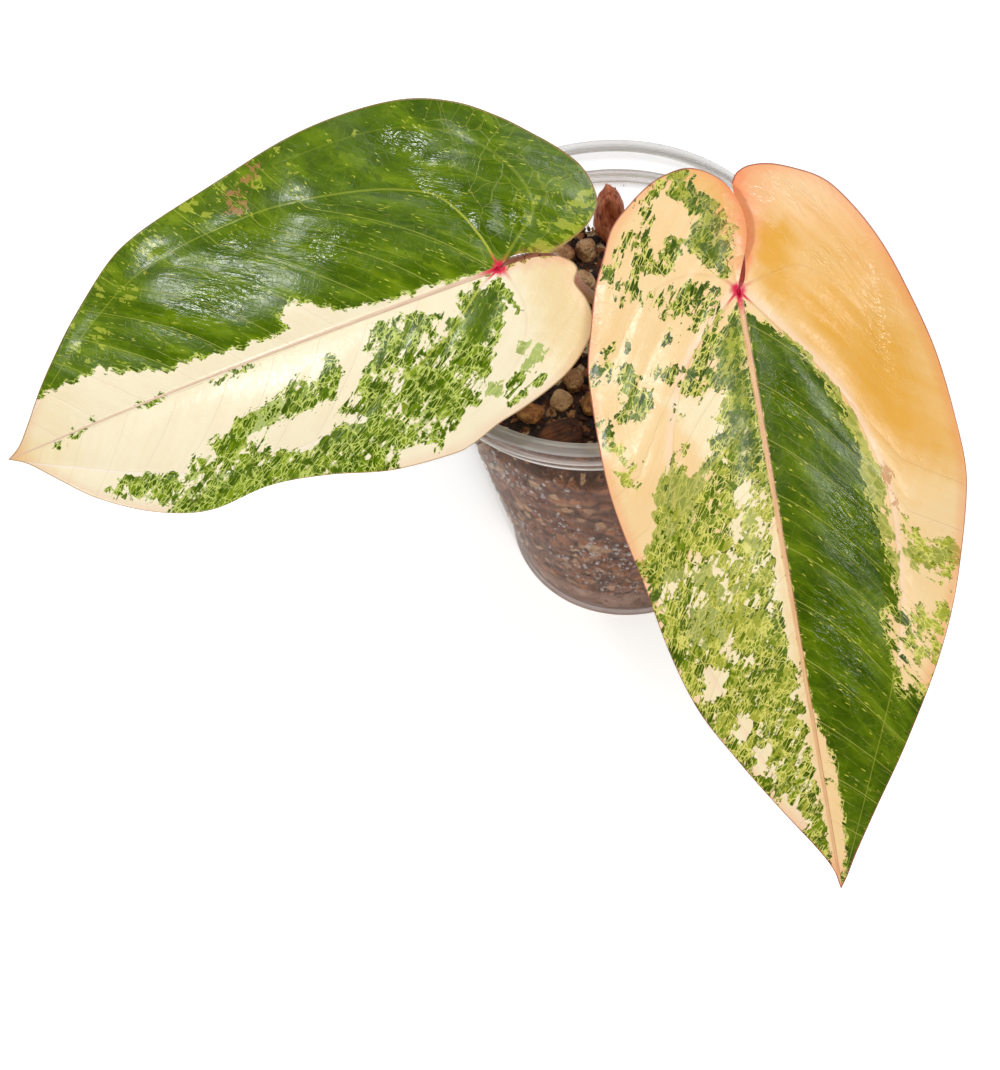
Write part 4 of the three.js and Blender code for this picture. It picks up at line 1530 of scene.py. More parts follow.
RIGHT_PATCHES = (
    area(WARM, 0.46, (-40, -50), (150, -50), (150, 50), (-40, 50), feather=0.5),
    area(WARM, 0.8, (-14, 8), (4, 8), (14, 14), (30, 20), (44, 27), (48, 40), (40, 48), (0, 48), (-13, 22),
         feather=6.0),
    area(WARM, 1.0, (2, 10), (12, 14), (38, 27), (40, 36), (16, 32), (4, 22), feather=5.0),
    area(WARM, 1.0, (-6, 4), (-13, 6), (-12, 13), (-6, 13), (4, 10), (2, 6), feather=3.0),
    area(WARM, 0.85, (-4, -0.5), (-14, -4), (-22, -8), (-30, -8), (-30, 2), feather=4.0),
    area(BLUSH, 0.16, (-30, 4), (-30, 30), (0, 45), (20, 45), (6, 30), (-8, 22), (-16, 6), feather=5.0),
    area(BLUSH, 0.42, (-2, 1.5), (-18, 9), (-30, 12), (-30, -1), (-14, -2), feather=4.0),
    area(BLUSH, 0.75, (0, 0.5), (-6, 2.4), (-14, 4.6), (-24, 5), (-28, 3.5), (-28, 1.5), (-20, 0), (-8, 0),
         feather=1.8),
    area(GREEN, 0.93, (-30, -11), (-24.5, -11), (-22, -11.5), (-19.5, -9.5), (-16.5, -7.5), (-12, -10.5),
         (-9.5, -8.5), (-6.5, -6.5), (-3.5, -3.5), (-3, -2), (-6.5, -1.5), (-12, -1.5), (-15, -2),
         (-17.5, -2.5), (-20.5, -4), (-24.5, -6), (-30, -6)),
    area(LIME, 0.22, (-30, -13), (-12, -11), (-3, -5), (-3, -1), (-30, -2), feather=2.0),
    area(GREEN, 0.8, (-24, -16.5), (-29, -16), (-29, -11.5), (-24.5, -12), (-23.5, -14.5)),
    area(GREEN, 0.5, (-22, -19.5), (-24.5, -17), (-24.5, -14.5), (-22, -15.5)),
    area(GREEN, 0.5, (-17.5, -19), (-20.5, -18.5), (-20, -15), (-17.5, -15.5)),
    area(GREEN, 0.72, (-14, -23), (-17, -21.5), (-16.5, -16.5), (-12.5, -17.5), (-12.5, -20.5)),
    area(GREEN, 0.75, (-9.5, -27), (-13.5, -25), (-14.5, -21.5), (-10.5, -22), (-9, -24.5)),
    area(GREEN, 0.7, (-7.5, -22.5), (-12, -21), (-12, -16.5), (-8, -17), (-7, -20)),
    area(GREEN, 0.8, (-9.5, -16), (-13.5, -14), (-13, -10.5), (-9.5, -11), (-8.5, -14)),
    area(GREEN, 0.65, (-6.5, -19.5), (-9, -17.5), (-8, -12.5), (-5.5, -13.5)),
    area(GREEN, 0.85, (-7.5, -29), (-10, -28.5), (-9.5, -26), (-7, -26.5), feather=0.8),
    area(GREEN, 0.3, (-1.5, -28.5), (-7.5, -27), (-6.5, -20.5), (-1.5, -20), (-0.5, -23.5)),
    area(GREEN, 0.62, (0, -20), (-3.5, -18.5), (-4, -9.5), (-2.5, -3.5), (2.5, -4.5), (2, -11), (0.5, -16)),
    area(GREEN, 0.6, (3, -17.5), (0, -15), (0.5, -9), (3.5, -10)),
    area(GREEN, 0.45, (7, -13), (2.5, -11), (2.5, -4.5), (6, -6.5), (8, -9.5)),
    area(GREEN, 0.5, (8.5, -18.5), (4.5, -16), (5, -13), (8.5, -14)),
    area(GREEN, 0.75, (8.5, -27), (5.5, -26), (5.5, -24.5), (8.5, -25.5), feather=0.7),
    area(GREEN, 0.4, (8.5, -31.5), (6.5, -30.5), (7, -28.5), (8.5, -29)),
    area(GREEN, 0.5, (15.5, -36), (10.5, -34), (11, -28.5), (15.5, -30.5)),
    area(GREEN, 0.92, (23, -30.5), (12, -28), (11, -25), (15, -24.5), (23, -26)),
    area(GREEN, 0.8, (15.5, -21.5), (12.5, -20), (13, -15.5), (16.5, -17)),
    area(GREEN, 0.75, (23, -30), (17.5, -28), (17.5, -21.5), (22, -23), (23.5, -25.5)),
    area(GREEN, 0.4, (20.5, -37), (20.5, -34), (28.5, -30.5), (31.5, -32), (28, -37)),
    area(GREEN, 0.55, (33.5, -33), (29.5, -30), (33.5, -26.5), (39, -30)),
    area(LIME, 0.75, (28, -34), (28, -25), (40, -25), (40, -34), feather=1.0),
    area(GREEN, 0.8, (4, 0), (4, -4.5), (7.5, -8), (10.5, -11), (13.5, -13), (16.5, -15.5), (23, -17.5),
         (29, -19), (33, -20), (37, -21), (39, -23.5), (42.5, -25.5), (48, -26), (50.5, -27.5), (53.5, -29),
         (54.5, -30.5), (56, -40), (100, -40), (140, -12), (142, 0), (110, 0.5), feather=0.9),
    area(GREEN, 0.94, (5, 0), (6, -4), (19, -10), (20, -6), (38, -9), (42, -7), (38, -1), (20, -0.5),
         feather=1.8),
    area(LIME, 0.24, (6, -1), (40, -24), (56, -32), (110, -20), (120, -2), (60, -2), feather=3.0),
    area(LIME, 0.45, (52, -12), (44, -8), (38, -4), (40, -1), (56, -2), (72, -8), (84, -12), (78, -18),
         (62, -16), feather=3.0),
    area(GREEN, 0.04, (20, -17.5), (20, -6.5), (23.5, -7), (25.5, -9), (31.5, -11.5), (34.5, -12.5),
         (37, -16), (35, -18), (33, -19.5), (24.5, -18.5), feather=0.9),
    area(GREEN, 0.35, (33, -19.5), (23, -17.8), (23.5, -15.5), (32.5, -17)),
    area(GREEN, 0.34, (48.5, -26.5), (41.5, -25), (35.5, -20.5), (37, -17), (34.5, -12.5), (42.5, -15.5),
         (49, -19)),
    area(THIN, 1.0, (54, -31), (48.5, -27), (41, -26), (35, -21), (37, -17), (34.5, -12.5), (42.5, -15.5),
         (49, -19), (60, -22), (60, -30), feather=0.7),
    area(GREEN, 0.45, (52, -10.5), (41.5, -8.5), (38.5, -4), (40, -1.5), (53.5, -2), (53, -6.5),
         feather=1.5),
    area(WARM, 0.1, (52, -12), (40, -10), (20, -20), (20, -5), (38, -1), (56, -1), (130, -2), (130, -30),
         (60, -30), feather=2.0),
    area(GREEN, 0.06, (43, -0.4), (50, -1.6), (60, -2.4), (76, -2.2), (92, -1.6), (112, -1.4), (136, -0.6),
         (138, 0.6), (44, 0.4), feather=0.5),
    area(GREEN, 0.1, (63, -27), (57.5, -25.5), (56.5, -22), (62, -23), (63.5, -25), feather=0.8),
    area(GREEN, 0.42, (66.5, -22.5), (56.5, -20), (55, -13.5), (57.5, -7.5), (66, -10), (69.5, -17),
         feather=1.5),
    area(THIN, 0.5, (66.5, -22.5), (56.5, -20), (55, -13.5), (57.5, -7.5), (66, -10), (69.5, -17),
         feather=1.5),
    area(GREEN, 0.05, (65, -17.5), (62.5, -16.5), (63, -14), (65, -15), feather=0.6),
    area(THIN, 0.9, (73, -26), (65.5, -22), (65, -15), (68, -12.5), (75.5, -16), (77, -23)),
    area(GREEN, 0.4, (73, -24.5), (65.5, -22), (65, -15), (68, -12.5), (75.5, -16), (76, -21.5)),
    area(GREEN, 0.1, (87.5, -23), (80, -20.5), (79.5, -16.5), (85.5, -18), (89, -21)),
    area(GREEN, 0.12, (96.5, -18), (92, -16), (91.5, -12.5), (96, -13.5), (97.5, -16), feather=0.8),
    area(GREEN, 0.12, (105.5, -14.5), (100.5, -13), (100.5, -9.5), (105.5, -11), (107, -13), feather=0.8),
    area(GREEN, 0.05, (113, -12), (112.5, -8.5), (120.5, -5), (123, -8), feather=0.6),
    area(GREEN, 1.0, (2, 0), (5, 1.5), (7.5, 5), (10, 7), (14, 10.5), (19, 13), (24.5, 16), (31, 18),
         (35.5, 19.5), (43, 19.5), (48, 20), (54.5, 21.5), (61, 22), (67.5, 22.5), (72.5, 23), (79.5, 23.5),
         (86, 24), (92, 22.5), (94, 45), (140, 30), (145, 0), (120, 0.3), (80, 0.2), feather=0.8),
    area(THIN, 0.95, (10, 8), (19, 14.3), (24.5, 17.3), (29.5, 19.3), (35.5, 21.3), (46, 23.8), (61, 23.8),
         (70, 23.3), (60, 20), (44, 19), (33, 17.5), (20, 12), feather=0.5),
    area(GREEN, 0.4, (74, 19), (83, 20), (92, 20), (92, 34), (74, 36), feather=2.0),
    area(GREEN, 0.5, (54, 26), (58.5, 30), (60.5, 36), (67, 38), (70, 32.5), (66, 28)),
    area(THIN, 0.3, (54, 25.5), (58.5, 30), (60.5, 36), (67, 38), (71, 32), (66, 27), feather=1.4),
    area(GREEN, 0.5, (83, 22), (75.5, 24.5), (78, 32), (86, 31)),
    area(GREEN, 0.1, (87, 24), (85, 28.5), (94, 25.5), feather=0.8),
    area(LIME, 0.9, (52, 26), (60, 40), (90, 34), (92, 25), (70, 25), feather=2.0),
    area(GREEN, 0.08, (92, 0), (94, 0.8), (103, 2.8), (107.5, 3.5), (113.5, 3), (118.5, 3.2), (126, 2.8),
         (134, 1.5), (140, -1.5), (110, -1.2), (90, -1), feather=0.6),
    area(THIN, 0.8, (118.5, 3.2), (119.5, 6.5), (129, 5), (131, 2.4), feather=0.6),
    area(SPECK, 0.3, (41, 23.5), (52, 24.5), (52, 26), (41, 25.2), feather=0.5),
)

LEFT_FINISH = LeafFinish(
    deep=tone(62, 88, 1), green=tone(84, 112, 2), light=tone(126, 150, 18), lime=tone(196, 202, 74),
    thin=tone(160, 184, 88), lace=tone(208, 220, 112), pale=tone(252, 241, 210), warm=tone(242, 218, 168),
    hot=tone(236, 188, 118), blush=tone(232, 120, 96), halo=tone(253, 240, 222), rib=tone(240, 212, 184),
    rib_shade=tone(204, 156, 126), margin=tone(168, 128, 78), scar=tone(176, 126, 78), rosy=0.16, ring=0.08,
    junction=tone(222, 44, 74), under=tone(176, 186, 130),
)

RIGHT_FINISH = LeafFinish(
    deep=tone(52, 76, 1), green=tone(80, 104, 2), light=tone(118, 140, 20), lime=tone(202, 198, 78),
    thin=tone(144, 158, 44), lace=tone(230, 222, 116), pale=tone(250, 236, 196), warm=tone(247, 210, 152),
    hot=tone(232, 172, 72), blush=tone(244, 128, 84), halo=tone(254, 220, 192), rib=tone(236, 190, 142),
    rib_shade=tone(182, 108, 66), margin=tone(168, 78, 72), scar=tone(196, 140, 84), rosy=0.3, ring=0.05,
    junction=tone(220, 34, 74), under=tone(196, 184, 138),
)


def left_blade() -> Blade:
    """The blade that points left: green on its upper half, cream with a green mosaic on the lower.

    Returns:
        The blade.
    """
    return Blade(
        name="left_blade", node="leaf_left", slot="leaf_green_cream",
        junction=(-20.9, -23.6, 150), axis=(-0.957, -0.039, -0.286), face=(-0.191, -0.658, 0.729),
        length=131, arch=5, ripple=1.4, rib_bend=-1.0, rib_half=(0.52, 0.18),
        sides=(
            Side(
                outline=((-11.5, 1), (-16.5, 0), (-21.5, -2), (-25, -5.5), (-25.5, -10), (-24.5, -14.5),
                         (-21.5, -19.5), (-17, -25), (-11.5, -31), (-3.5, -37.5), (7.5, -42.5),
                         (21, -44.5), (37, -44), (57.5, -41), (77, -37), (87.5, -33), (99, -25.5),
                         (107.5, -18.5), (114.5, -12.5), (121.5, -6), (126.5, -2), (131, 0)),
                bow=-1.8, bow_peak=0.7, lift=0.0,
            ),
            Side(
                outline=((-13.5, 2.5), (-15.5, 4.5), (-16, 6.5), (-14.5, 9), (-15.5, 13), (-15.5, 17),
                         (-14, 20.5), (-10.5, 24), (-6, 27), (-1, 29), (6, 31), (13, 32.5), (21, 35),
                         (26.5, 35.5), (39.5, 34), (53.5, 30), (69, 27.5), (85, 28), (99.5, 23.5),
                         (111, 16.5), (119, 9), (125.5, 3), (131, 0)),
                bow=-0.9, bow_peak=1.2, lift=0.0,
            ),
        ),
        patches=LEFT_PATCHES,
        folds=(
            Fold((12, -34.5), (-0.17, -0.13), (6, 3.5)),
            Fold((8.5, -24.5), (-0.18, -0.04), (4.5, 4.5)),
            Fold((4.7, -18), (-0.2, 0.02), (4.5, 4.5)),
            Fold((1.7, -11.5), (-0.2, 0.1), (3.5, 3.5)),
            Fold((-7, -9.5), (-0.24, 0.15), (2.5, 4)),
            Fold((33, -18.5), (-0.09, 0.02), (7, 3.5)),
            Fold((52, -27), (-0.02, -0.06), (8, 3.5)),
            Fold((62, -17), (0.02, 0.04), (10, 4)),
        ),
        basal=(
            ((0, 0), (1.5, -9), (7, -19.5), (14.5, -24), (21, -26.5), (39, -30.5), (56.5, -31.5),
             (78, -29), (96, -22), (112, -12), (131, 0)),
            ((0, 0), (5.5, 2.5), (13, 8), (22, 12.5), (33, 16.5), (44.5, 20), (60.5, 21.5), (78, 20),
             (96, 14.5), (114, 7), (131, 0)),
        ),
        second=(
            ((0, 0), (-2.5, -2), (-6.5, -5), (-11.5, -9), (-12, -14.5), (-8, -24), (0, -32), (14, -38),
             (40, -40)),
            ((0, 0), (-1.5, 3), (-2.5, 10), (1, 18), (8, 24), (20, 29), (40, 30)),
        ),
        finish=LEFT_FINISH,
    )


def right_blade() -> Blade:
    """The blade that points down: peach lobes, a dark green middle and a mottled left half.

    Returns:
        The blade.
    """
    return Blade(
        name="right_blade", node="leaf_right", slot="leaf_peach_green",
        junction=(29.8, -41.1, 152), axis=(0.04, -0.74, -0.672), face=(-0.065, -0.673, 0.737),
        length=138.5, arch=7, ripple=1.0, rib_bend=0.1, rib_half=(0.66, 0.36),
        sides=(
            Side(
                outline=((-21.5, 2), (-24, 0), (-26.5, -3.5), (-27.5, -7), (-27, -11), (-25.5, -15),
                         (-22.5, -19.5), (-18, -24.5), (-12, -27.5), (-5.5, -30.5), (3, -33),
                         (10.5, -35), (17.5, -35.5), (28, -35.5), (38.5, -35), (48.5, -33.5),
                         (60.5, -31), (76.5, -28), (90.5, -24), (103, -17.5), (117, -9.5),
                         (126.5, -4), (133, -1), (138.5, 0)),
                bow=2.8, bow_peak=1.3, lift=1.2,
            ),
            Side(
                outline=((-22.5, 2.5), (-24.5, 4), (-25.5, 7), (-25, 11.5), (-23, 16.5), (-20.5, 21),
                         (-17, 24.5), (-10, 29), (-2.5, 32.5), (6.5, 35.5), (17, 38.5), (25, 40),
                         (34.5, 41), (45, 41.5), (53, 40.5), (65.5, 37.5), (76, 34), (89, 28),
                         (105.5, 19), (118.5, 11), (129, 5), (135, 2), (138.5, 0)),
                bow=1.9, bow_peak=0.5, lift=-2.2,
            ),
        ),
        patches=RIGHT_PATCHES,
        folds=(
            Fold((-19.5, 12), (-0.05, -0.02), (4, 5)),
            Fold((-16, 20), (-0.03, 0.07), (4, 4)),
            Fold((-4, 21), (-0.02, 0.07), (3.5, 4.5)),
            Fold((25, 6), (0.02, -0.17), (5, 2.5)),
            Fold((54, 16), (0, -0.02), (8, 4)),
            Fold((84, 10.5), (0.06, -0.1), (14, 3.5)),
            Fold((73, 5), (0.02, -0.2), (6, 2.5)),
            Fold((12, 28), (-0.03, 0.12), (12, 2.5)),
        ),
        basal=(
            ((0, 0), (4, -4.5), (7.5, -8), (13.5, -13), (23, -17.5), (33, -20), (46.5, -22),
             (62, -22.5), (80, -20), (98, -14), (118, -6), (138.5, 0)),
            ((0, 0), (8.5, 6.5), (14.5, 11), (24.5, 17.5), (35.5, 21.5), (46, 24), (61, 24),
             (76, 22.5), (92, 18), (110, 11), (138.5, 0)),
        ),
        second=(
            ((0, 0), (-3, -3), (-5, -9), (-4, -16), (0, -22), (8, -27), (22, -30.5), (40, -31)),
            ((0, 0), (-1, 2.5), (-2, 6), (-3, 13.5), (-1, 17), (3, 21.5), (9.5, 27), (19.5, 32), (36, 35)),
        ),
        finish=RIGHT_FINISH,
    )


# Cup


@dataclass(frozen=True)
class PlasticFinish:
    """Clear plastic with a faint grey veil that thickens and turns white at the folds, a painted highlight.
    """

    body: Colour = tone(150, 104, 78)
    rim: Colour = tone(196, 192, 190)
    painted_glint: Colour = tone(250, 249, 248)
    veil: float = 0.04
    flange: float = 0.42
    # How far the painted highlight at the folds thickens the veil.
    fold: float = 0.95
    flange_heights: tuple = (106.0, 106.3)
    skirt_heights: tuple = (101.5, 103.0)
    collar_heights: tuple = (96.0, 98.0)
    foot_heights: tuple = (3.4, 1.2)
    rough: float = 0.1
    index: float = 1.49
    specular: float = 0.36

    def material(self, name: str) -> bpy.types.Material:
        """Writes the finish: the veil is Alpha, and the `fold` values whiten and thicken it as a painted
        highlight.

        The veil is thickest in the rim's flange, thin in its skirt, and thickens towards the foot.

        Args:
            name: The material's name.

        Returns:
            The material.
        """
        material, write, shader = new_material(name)
        fold = write.value("fold")
        place = write.place()
        haze = write.rise(write.noise(write.scaled(place, (1, 1, 0.5)), 9.0, 4.0), 0.3, 0.75, 0.0, 0.07)
        height = write.parts(place)["Z"]
        grazing = write.add("ShaderNodeLayerWeight", {"Blend": 0.35}).outputs["Facing"]
        veil = write.plus(write.math("POWER", grazing, 2.0), 0.14, haze)
        skirt = write.rise(height, *self.skirt_heights, 0.0, 0.3)
        flange = write.most(write.rise(height, *self.flange_heights), skirt)
        veil = write.times(veil, write.rise(height, *self.collar_heights, 1.0, 0.0))
        veil = write.math("ADD", veil, write.rise(height, *self.foot_heights, 0.0, 0.5))
        veil = write.plus(flange, self.flange, write.math("ADD", veil, self.veil))
        # Painted highlight: at the folds the veil grows nearly opaque and turns white.
        write.feed(shader["Alpha"], write.plus(fold, self.fold - self.veil, veil, clamp=True))
        body = write.mix(flange, self.body, self.rim)
        write.feed(shader["Base Color"], write.mix(fold, body, self.painted_glint))
        polish(shader, self.rough, self.index, self.specular)
        return material


@dataclass(frozen=True)
class DewFinish:
    """Water beads: clear and sharply glossy, with painted highlights that whiten them in patches."""

    water: Colour = tone(214, 206, 200)
    light: Colour = tone(255, 255, 255)
    middle: float = 0.12
    edge: float = 0.45
    rough: float = 0.04
    index: float = 1.33
    specular: float = 1.0

    def material(self, name: str) -> bpy.types.Material:
        """Writes the finish, clearer in the middle of a bead than at its edge.

        Args:
            name: The material's name.

        Returns:
            The material.
        """
        material, write, shader = new_material(name)
        grazing = write.add("ShaderNodeLayerWeight", {"Blend": 0.5}).outputs["Facing"]
        fine = write.noise(write.place(), 1.4, 2.0)
        write.feed(shader["Alpha"], write.plus(grazing, self.edge, self.middle, clamp=True))
        # Painted highlight: the colour runs to pure white in patches, and shows most at a bead's edge, where
        # it is least clear.
        write.feed(shader["Base Color"], write.mix(fine, self.water, self.light))
        polish(shader, self.rough, self.index, self.specular)
        return material


@dataclass
class Cup:
    """The clear cup, and the water and crumbs that cling to its wall."""

    height: float = 107.0
    rim: float = 49.0
    mouth: float = 45.0
    skirt: float = 4.4
    shoulder_drop: float = 9.7
    shoulder: float = 46.8
    neck_drop: float = 11.2
    neck: float = 43.9
    base: float = 34.2
    foot: float = 2.4
    wall: float = 1.0
    floor: float = 1.2
    holes: int = 5
    hole_radius: float = 1.9
    hole_circle: float = 20.0
    hole_sides: int = 28
    sides: int = 160
    beads: int = 2300
    bead_seed: int = 41
    bead_bottom: float = 13.0
    bead_drift: float = 14.0
    specks: int = 120
    speck_seed: int = 12
    soil_line: float = 77.0

    def inner(self, z: Array | float) -> Array | float:
        """The wall's inner radius at a height below the neck."""
        rise = (z - self.foot) / (self.height - self.neck_drop - self.foot)
        return blend(self.base, self.neck, rise) - self.wall

    def profile(self) -> Array:
        """The section: from the middle of the underside, up the outside and down the inside.

        Returns:
            Rows of radius and height.
        """
        h, w = self.height, self.wall
        ledge = h - self.shoulder_drop
        skirt = h - self.skirt
        neck = h - self.neck_drop
        base = self.base
        corners = [
            (0.01, 0.35), (base - 3.2, 0.35), (base - 2.4, 0), (base - 1.2, 0), (base - 0.2, 0.7),
            (base, self.foot), (base + 0.25, self.foot + 1.4), (self.neck, neck),
            (self.shoulder - 0.3, ledge - 0.4), (self.shoulder, ledge), (self.mouth + w, ledge + 0.8),
            (self.mouth + w, skirt + 2.6), (self.rim - w, skirt + 2.6), (self.rim - w, skirt),
            (self.rim, skirt), (self.rim, h - 1.6), (self.rim - 0.25, h - 1.2), (self.rim - 0.25, h - 0.5),
            (self.rim - 0.8, h), (self.rim - 2.0, h - 0.05), (self.rim - 2.3, h - 0.4),
            (self.rim - 2.8, h - 0.4), (self.rim - 3.1, h - 0.05), (self.mouth + 0.4, h),
            (self.mouth, h - 0.6), (self.mouth, ledge + 0.2), (self.mouth - 0.4, ledge - 0.3),
            (self.neck - w, neck), (base - w, self.foot), (base - w - 1, self.floor), (0.01, self.floor),
        ]
        return divided(rounded(np.array(corners, float), 0.35, 4), 2.5)

    def folds(self, points: Array) -> Array:
        """How close each point lies to a fold that gets a painted highlight: the sum of a bell about each.

        The folds are the rims of mouth and flange, the flange's bead, the skirt's foot, the ledge
        inside and outside, the neck, and the foot ring.

        Args:
            points: Places in millimetres.

        Returns:
            A share from 0 to 1 for each.
        """
        z = points[:, 2]
        reach = np.hypot(points[:, 0], points[:, 1])
        top, ledge = self.height, self.height - self.shoulder_drop
        marks = (
            (self.mouth, top, 0.35), (self.rim, top, 0.4), (self.rim, top - self.skirt, 0.45),
            (self.mouth, ledge, 0.7), (self.shoulder, ledge, 0.6), (self.base - 0.6, 0.2, 0.3),
            (self.rim - 2.6, top, 0.3), (self.neck, top - self.neck_drop, 0.4),
        )
        near = [np.exp(-(((reach - r) ** 2 + (z - h) ** 2) / size**2)) for r, h, size in marks]
        return np.clip(np.sum(near, 0), 0, 1)

    def shell(self) -> bpy.types.Object:
        """The cup's own wall, with its drain holes cut.

        Returns:
            The piece.
        """
        piece = lathe(self.profile(), self.sides).piece("cup")
        middles = circled(self.hole_circle, turns(self.holes), 0.0)
        ring = circled(self.hole_radius, turns(self.hole_sides), 0.0)
        for middle in middles:
            cutter = loft(np.stack([ring + middle + [0, 0, z] for z in (-3.0, 4.0)])).piece("hole_cutter")
            cut = piece.modifiers.new("drain_hole", "BOOLEAN")
            cut.object = cutter
            cut.operation = "DIFFERENCE"
            cut.solver = "EXACT"
            with bpy.context.temp_override(object=piece, active_object=piece):
                bpy.ops.object.modifier_apply(modifier=cut.name)
            bpy.data.objects.remove(cutter)
        count = len(piece.data.vertices)
        points = np.empty(count * 3, np.float32)
        piece.data.vertices.foreach_get("co", points)
        # The `fold` values place the plastic's painted highlight.
        put_values(piece, "fold", self.folds(points.reshape(-1, 3) / MM))
        return piece

    def dew(self) -> bpy.types.Object:
        """Water beads on the inside of the wall, below the soil line, thickest in drifts.

        Returns:
            The piece.
        """
        random = np.random.default_rng(self.bead_seed)
        turn = random.uniform(0, 2 * np.pi, 3 * self.beads)
        z = random.uniform(self.bead_bottom, self.soil_line + 5, 3 * self.beads)
        drift = soft_noise(np.stack([turn * 40, z], -1), self.bead_drift, 3)
        kept = np.nonzero(drift + random.uniform(-0.6, 0.6, len(drift)) > 0.1)[0][: self.beads]
        turn, z = turn[kept], z[kept]
        size = 0.2 + 0.55 * random.power(0.55, len(kept)) ** 1.2 * random.uniform(0.3, 1, len(kept))
        side = np.stack([-np.sin(turn), np.cos(turn), 0 * turn], -1)
        down = np.array([0.0, 0.0, -1.0]) * random.uniform(0.9, 1.5, len(kept))[:, None]
        shapes = np.stack([side, down, -circled(1.0, turn, 0.0)], -1)
        places = circled(self.inner(z) - 0.02, turn, z)
        return strewn(bead(), shapes * size[:, None, None], places).piece("dew")

    def crumbs(self) -> bpy.types.Object:
        """Specks of mix stuck to the inner wall above the soil.

        Returns:
            The piece.
        """
        random = np.random.default_rng(self.speck_seed)
        turn = random.uniform(0, 2 * np.pi, self.specks)
        z = self.soil_line + 4 + 15 * random.power(0.7, self.specks)
        places = circled(self.inner(z) - 0.12, turn, z)
        turned = tumbled(random, self.specks)
        size = random.uniform(0.18, 0.6, self.specks)
        squashed = turned * (size[:, None] * [1.2, 0.8, 0.4])[:, None]
        speck = crumb()
        piece = strewn(speck, squashed, places).piece("wall_crumbs", smooth=False)
        tint = random.uniform(0.0, 0.6, self.specks)
        put_values(piece, "tint", np.repeat(tint, len(speck.points)))
        return piece

    def build(self, mix: SoilFinish) -> None:
        """Makes and dresses the cup, its dew and its crumbs.

        Args:
            mix: The finish of the crumbs, which are bits of the mix.
        """
        seat(self.shell(), "clear_plastic", PlasticFinish().material("cup_plastic"), "pot")
        seat(self.dew(), "clear_plastic", DewFinish().material("dew_water"))
        seat(self.crumbs(), "soil", mix.material("wall_crumbs_mix"))


# What the cup holds


@dataclass(frozen=True)
class SoilFinish:
    """Wet bark fines: near-black with red-brown, amber and pale bits.

    The mix looks damp where it presses against the wall, whose inner radius is wall_foot at height 0
    and grows by wall_slope.
    """

    black: Colour = tone(26, 12, 8)
    brown: Colour = tone(74, 38, 22)
    red: Colour = tone(122, 62, 36)
    amber: Colour = tone(170, 112, 62)
    bone: Colour = tone(214, 186, 146)
    damp: Colour = tone(194, 130, 86)
    wall_foot: float = 32.95
    wall_slope: float = 0.104

    def material(self, name: str) -> bpy.types.Material:
        """Writes the finish. A loose bit's own `tint` picks its colour, and a cell's draw the rest.

        Args:
            name: The material's name.

        Returns:
            The material.
        """
        material, write, shader = new_material(name)
        place = write.place()
        cells = write.cells(write.shaken(place, 2.0, 0.7), 2.6)
        stored = write.value("tint")
        own = write.rise(stored, 0.0, 0.001)
        draw = write.plus(write.less(1.0, own), write.drawn(cells), stored)
        fine = write.noise(place, 0.9, 5.0, 0.65)
        shade = write.plus(write.less(fine, 0.5), 0.35, draw, clamp=True)
        stops = (0.0, 0.5, 0.72, 0.88, 0.97)
        colour = write.ramp(shade, *zip(stops, (self.black, self.brown, self.red, self.amber, self.bone)))
        reach = write.length(write.scaled(place, (1.0, 1.0, 0.0)))
        wall = write.plus(write.parts(place)["Z"], self.wall_slope, self.wall_foot)
        pressed = write.rise(write.less(wall, reach), 2.2, 0.4)
        damp = write.mix(write.rise(write.noise(place, 5.0, 4.0), 0.35, 0.65), self.red, self.damp)
        colour = write.over(pressed, 0.48, colour, damp)
        # Painted shade: black in the gaps between the cells, which stand for crumbs.
        colour = write.over(write.rise(cells.outputs["Distance"], 0.45, 0.85), 0.8, colour, self.black)
        write.feed(shader["Base Color"], colour)
        fibre = effects.use(write, "grain", {"Place": place, "Pitch": 0.5}).outputs[0]
        height = write.plus(fibre, 0.4, fine)
        write.feed(shader["Normal"], write.bump(height, 0.5, 0.9))
        write.feed(shader["Roughness"], write.rise(fine, 0.3, 0.7, 0.35, 0.8))
        return material


@dataclass(frozen=True)
class BarkFinish:
    """Red-brown bark with fibres along its length and dark clefts."""

    dark: Colour
    middle: Colour
    light: Colour

    def material(self, name: str) -> bpy.types.Material:
        """Writes the finish. The chip stores its own coordinates, with the fibres along the third.

        Args:
            name: The material's name.

        Returns:
            The material.
        """
        material, write, shader = new_material(name)
        own = write.vector("chip_mm")
        fibre = effects.use(write, "grain", {"Place": own, "Pitch": 0.7}).outputs[0]
        cloud = write.noise(own, 3.0, 4.0)
        shade = write.plus(cloud, 0.6, write.times(fibre, 0.4))
        colour = write.ramp(shade, (0.2, self.dark), (0.45, self.middle), (0.75, self.light))
        write.feed(shader["Base Color"], colour)
        write.feed(shader["Normal"], write.bump(fibre, 0.45, 0.9))
        write.feed(shader["Roughness"], write.rise(cloud, 0.3, 0.7, 0.42, 0.72))
        return material


@dataclass(frozen=True)
class PumiceFinish:
    """Pale porous stone, stained by the mix."""

    pale: Colour = tone(216, 176, 130)
    tan: Colour = tone(158, 108, 70)
    stain: Colour = tone(84, 50, 32)

    def material(self, name: str) -> bpy.types.Material:
        """Writes the finish: rounded grains, dark pores and a cloudy stain.

        Args:
            name: The material's name.

        Returns:
            The material.
        """
        material, write, shader = new_material(name)
        place = write.place()
        pores = effects.use(write, "pores", {"Place": place}).outputs
        cloud = write.rise(write.noise(place, 7.0, 5.0), 0.36, 0.6)
        colour = write.mix(cloud, self.pale, self.tan)
        colour = write.over(pores["Pore"], 0.7, colour, self.stain)
        write.feed(shader["Base Color"], colour)
        write.feed(shader["Normal"], write.bump(pores["Grain"], 0.4, 0.9))
        write.feed(shader["Roughness"], write.rise(pores["Grain"], 0.2, 1.0, 0.6, 0.9))
        return material


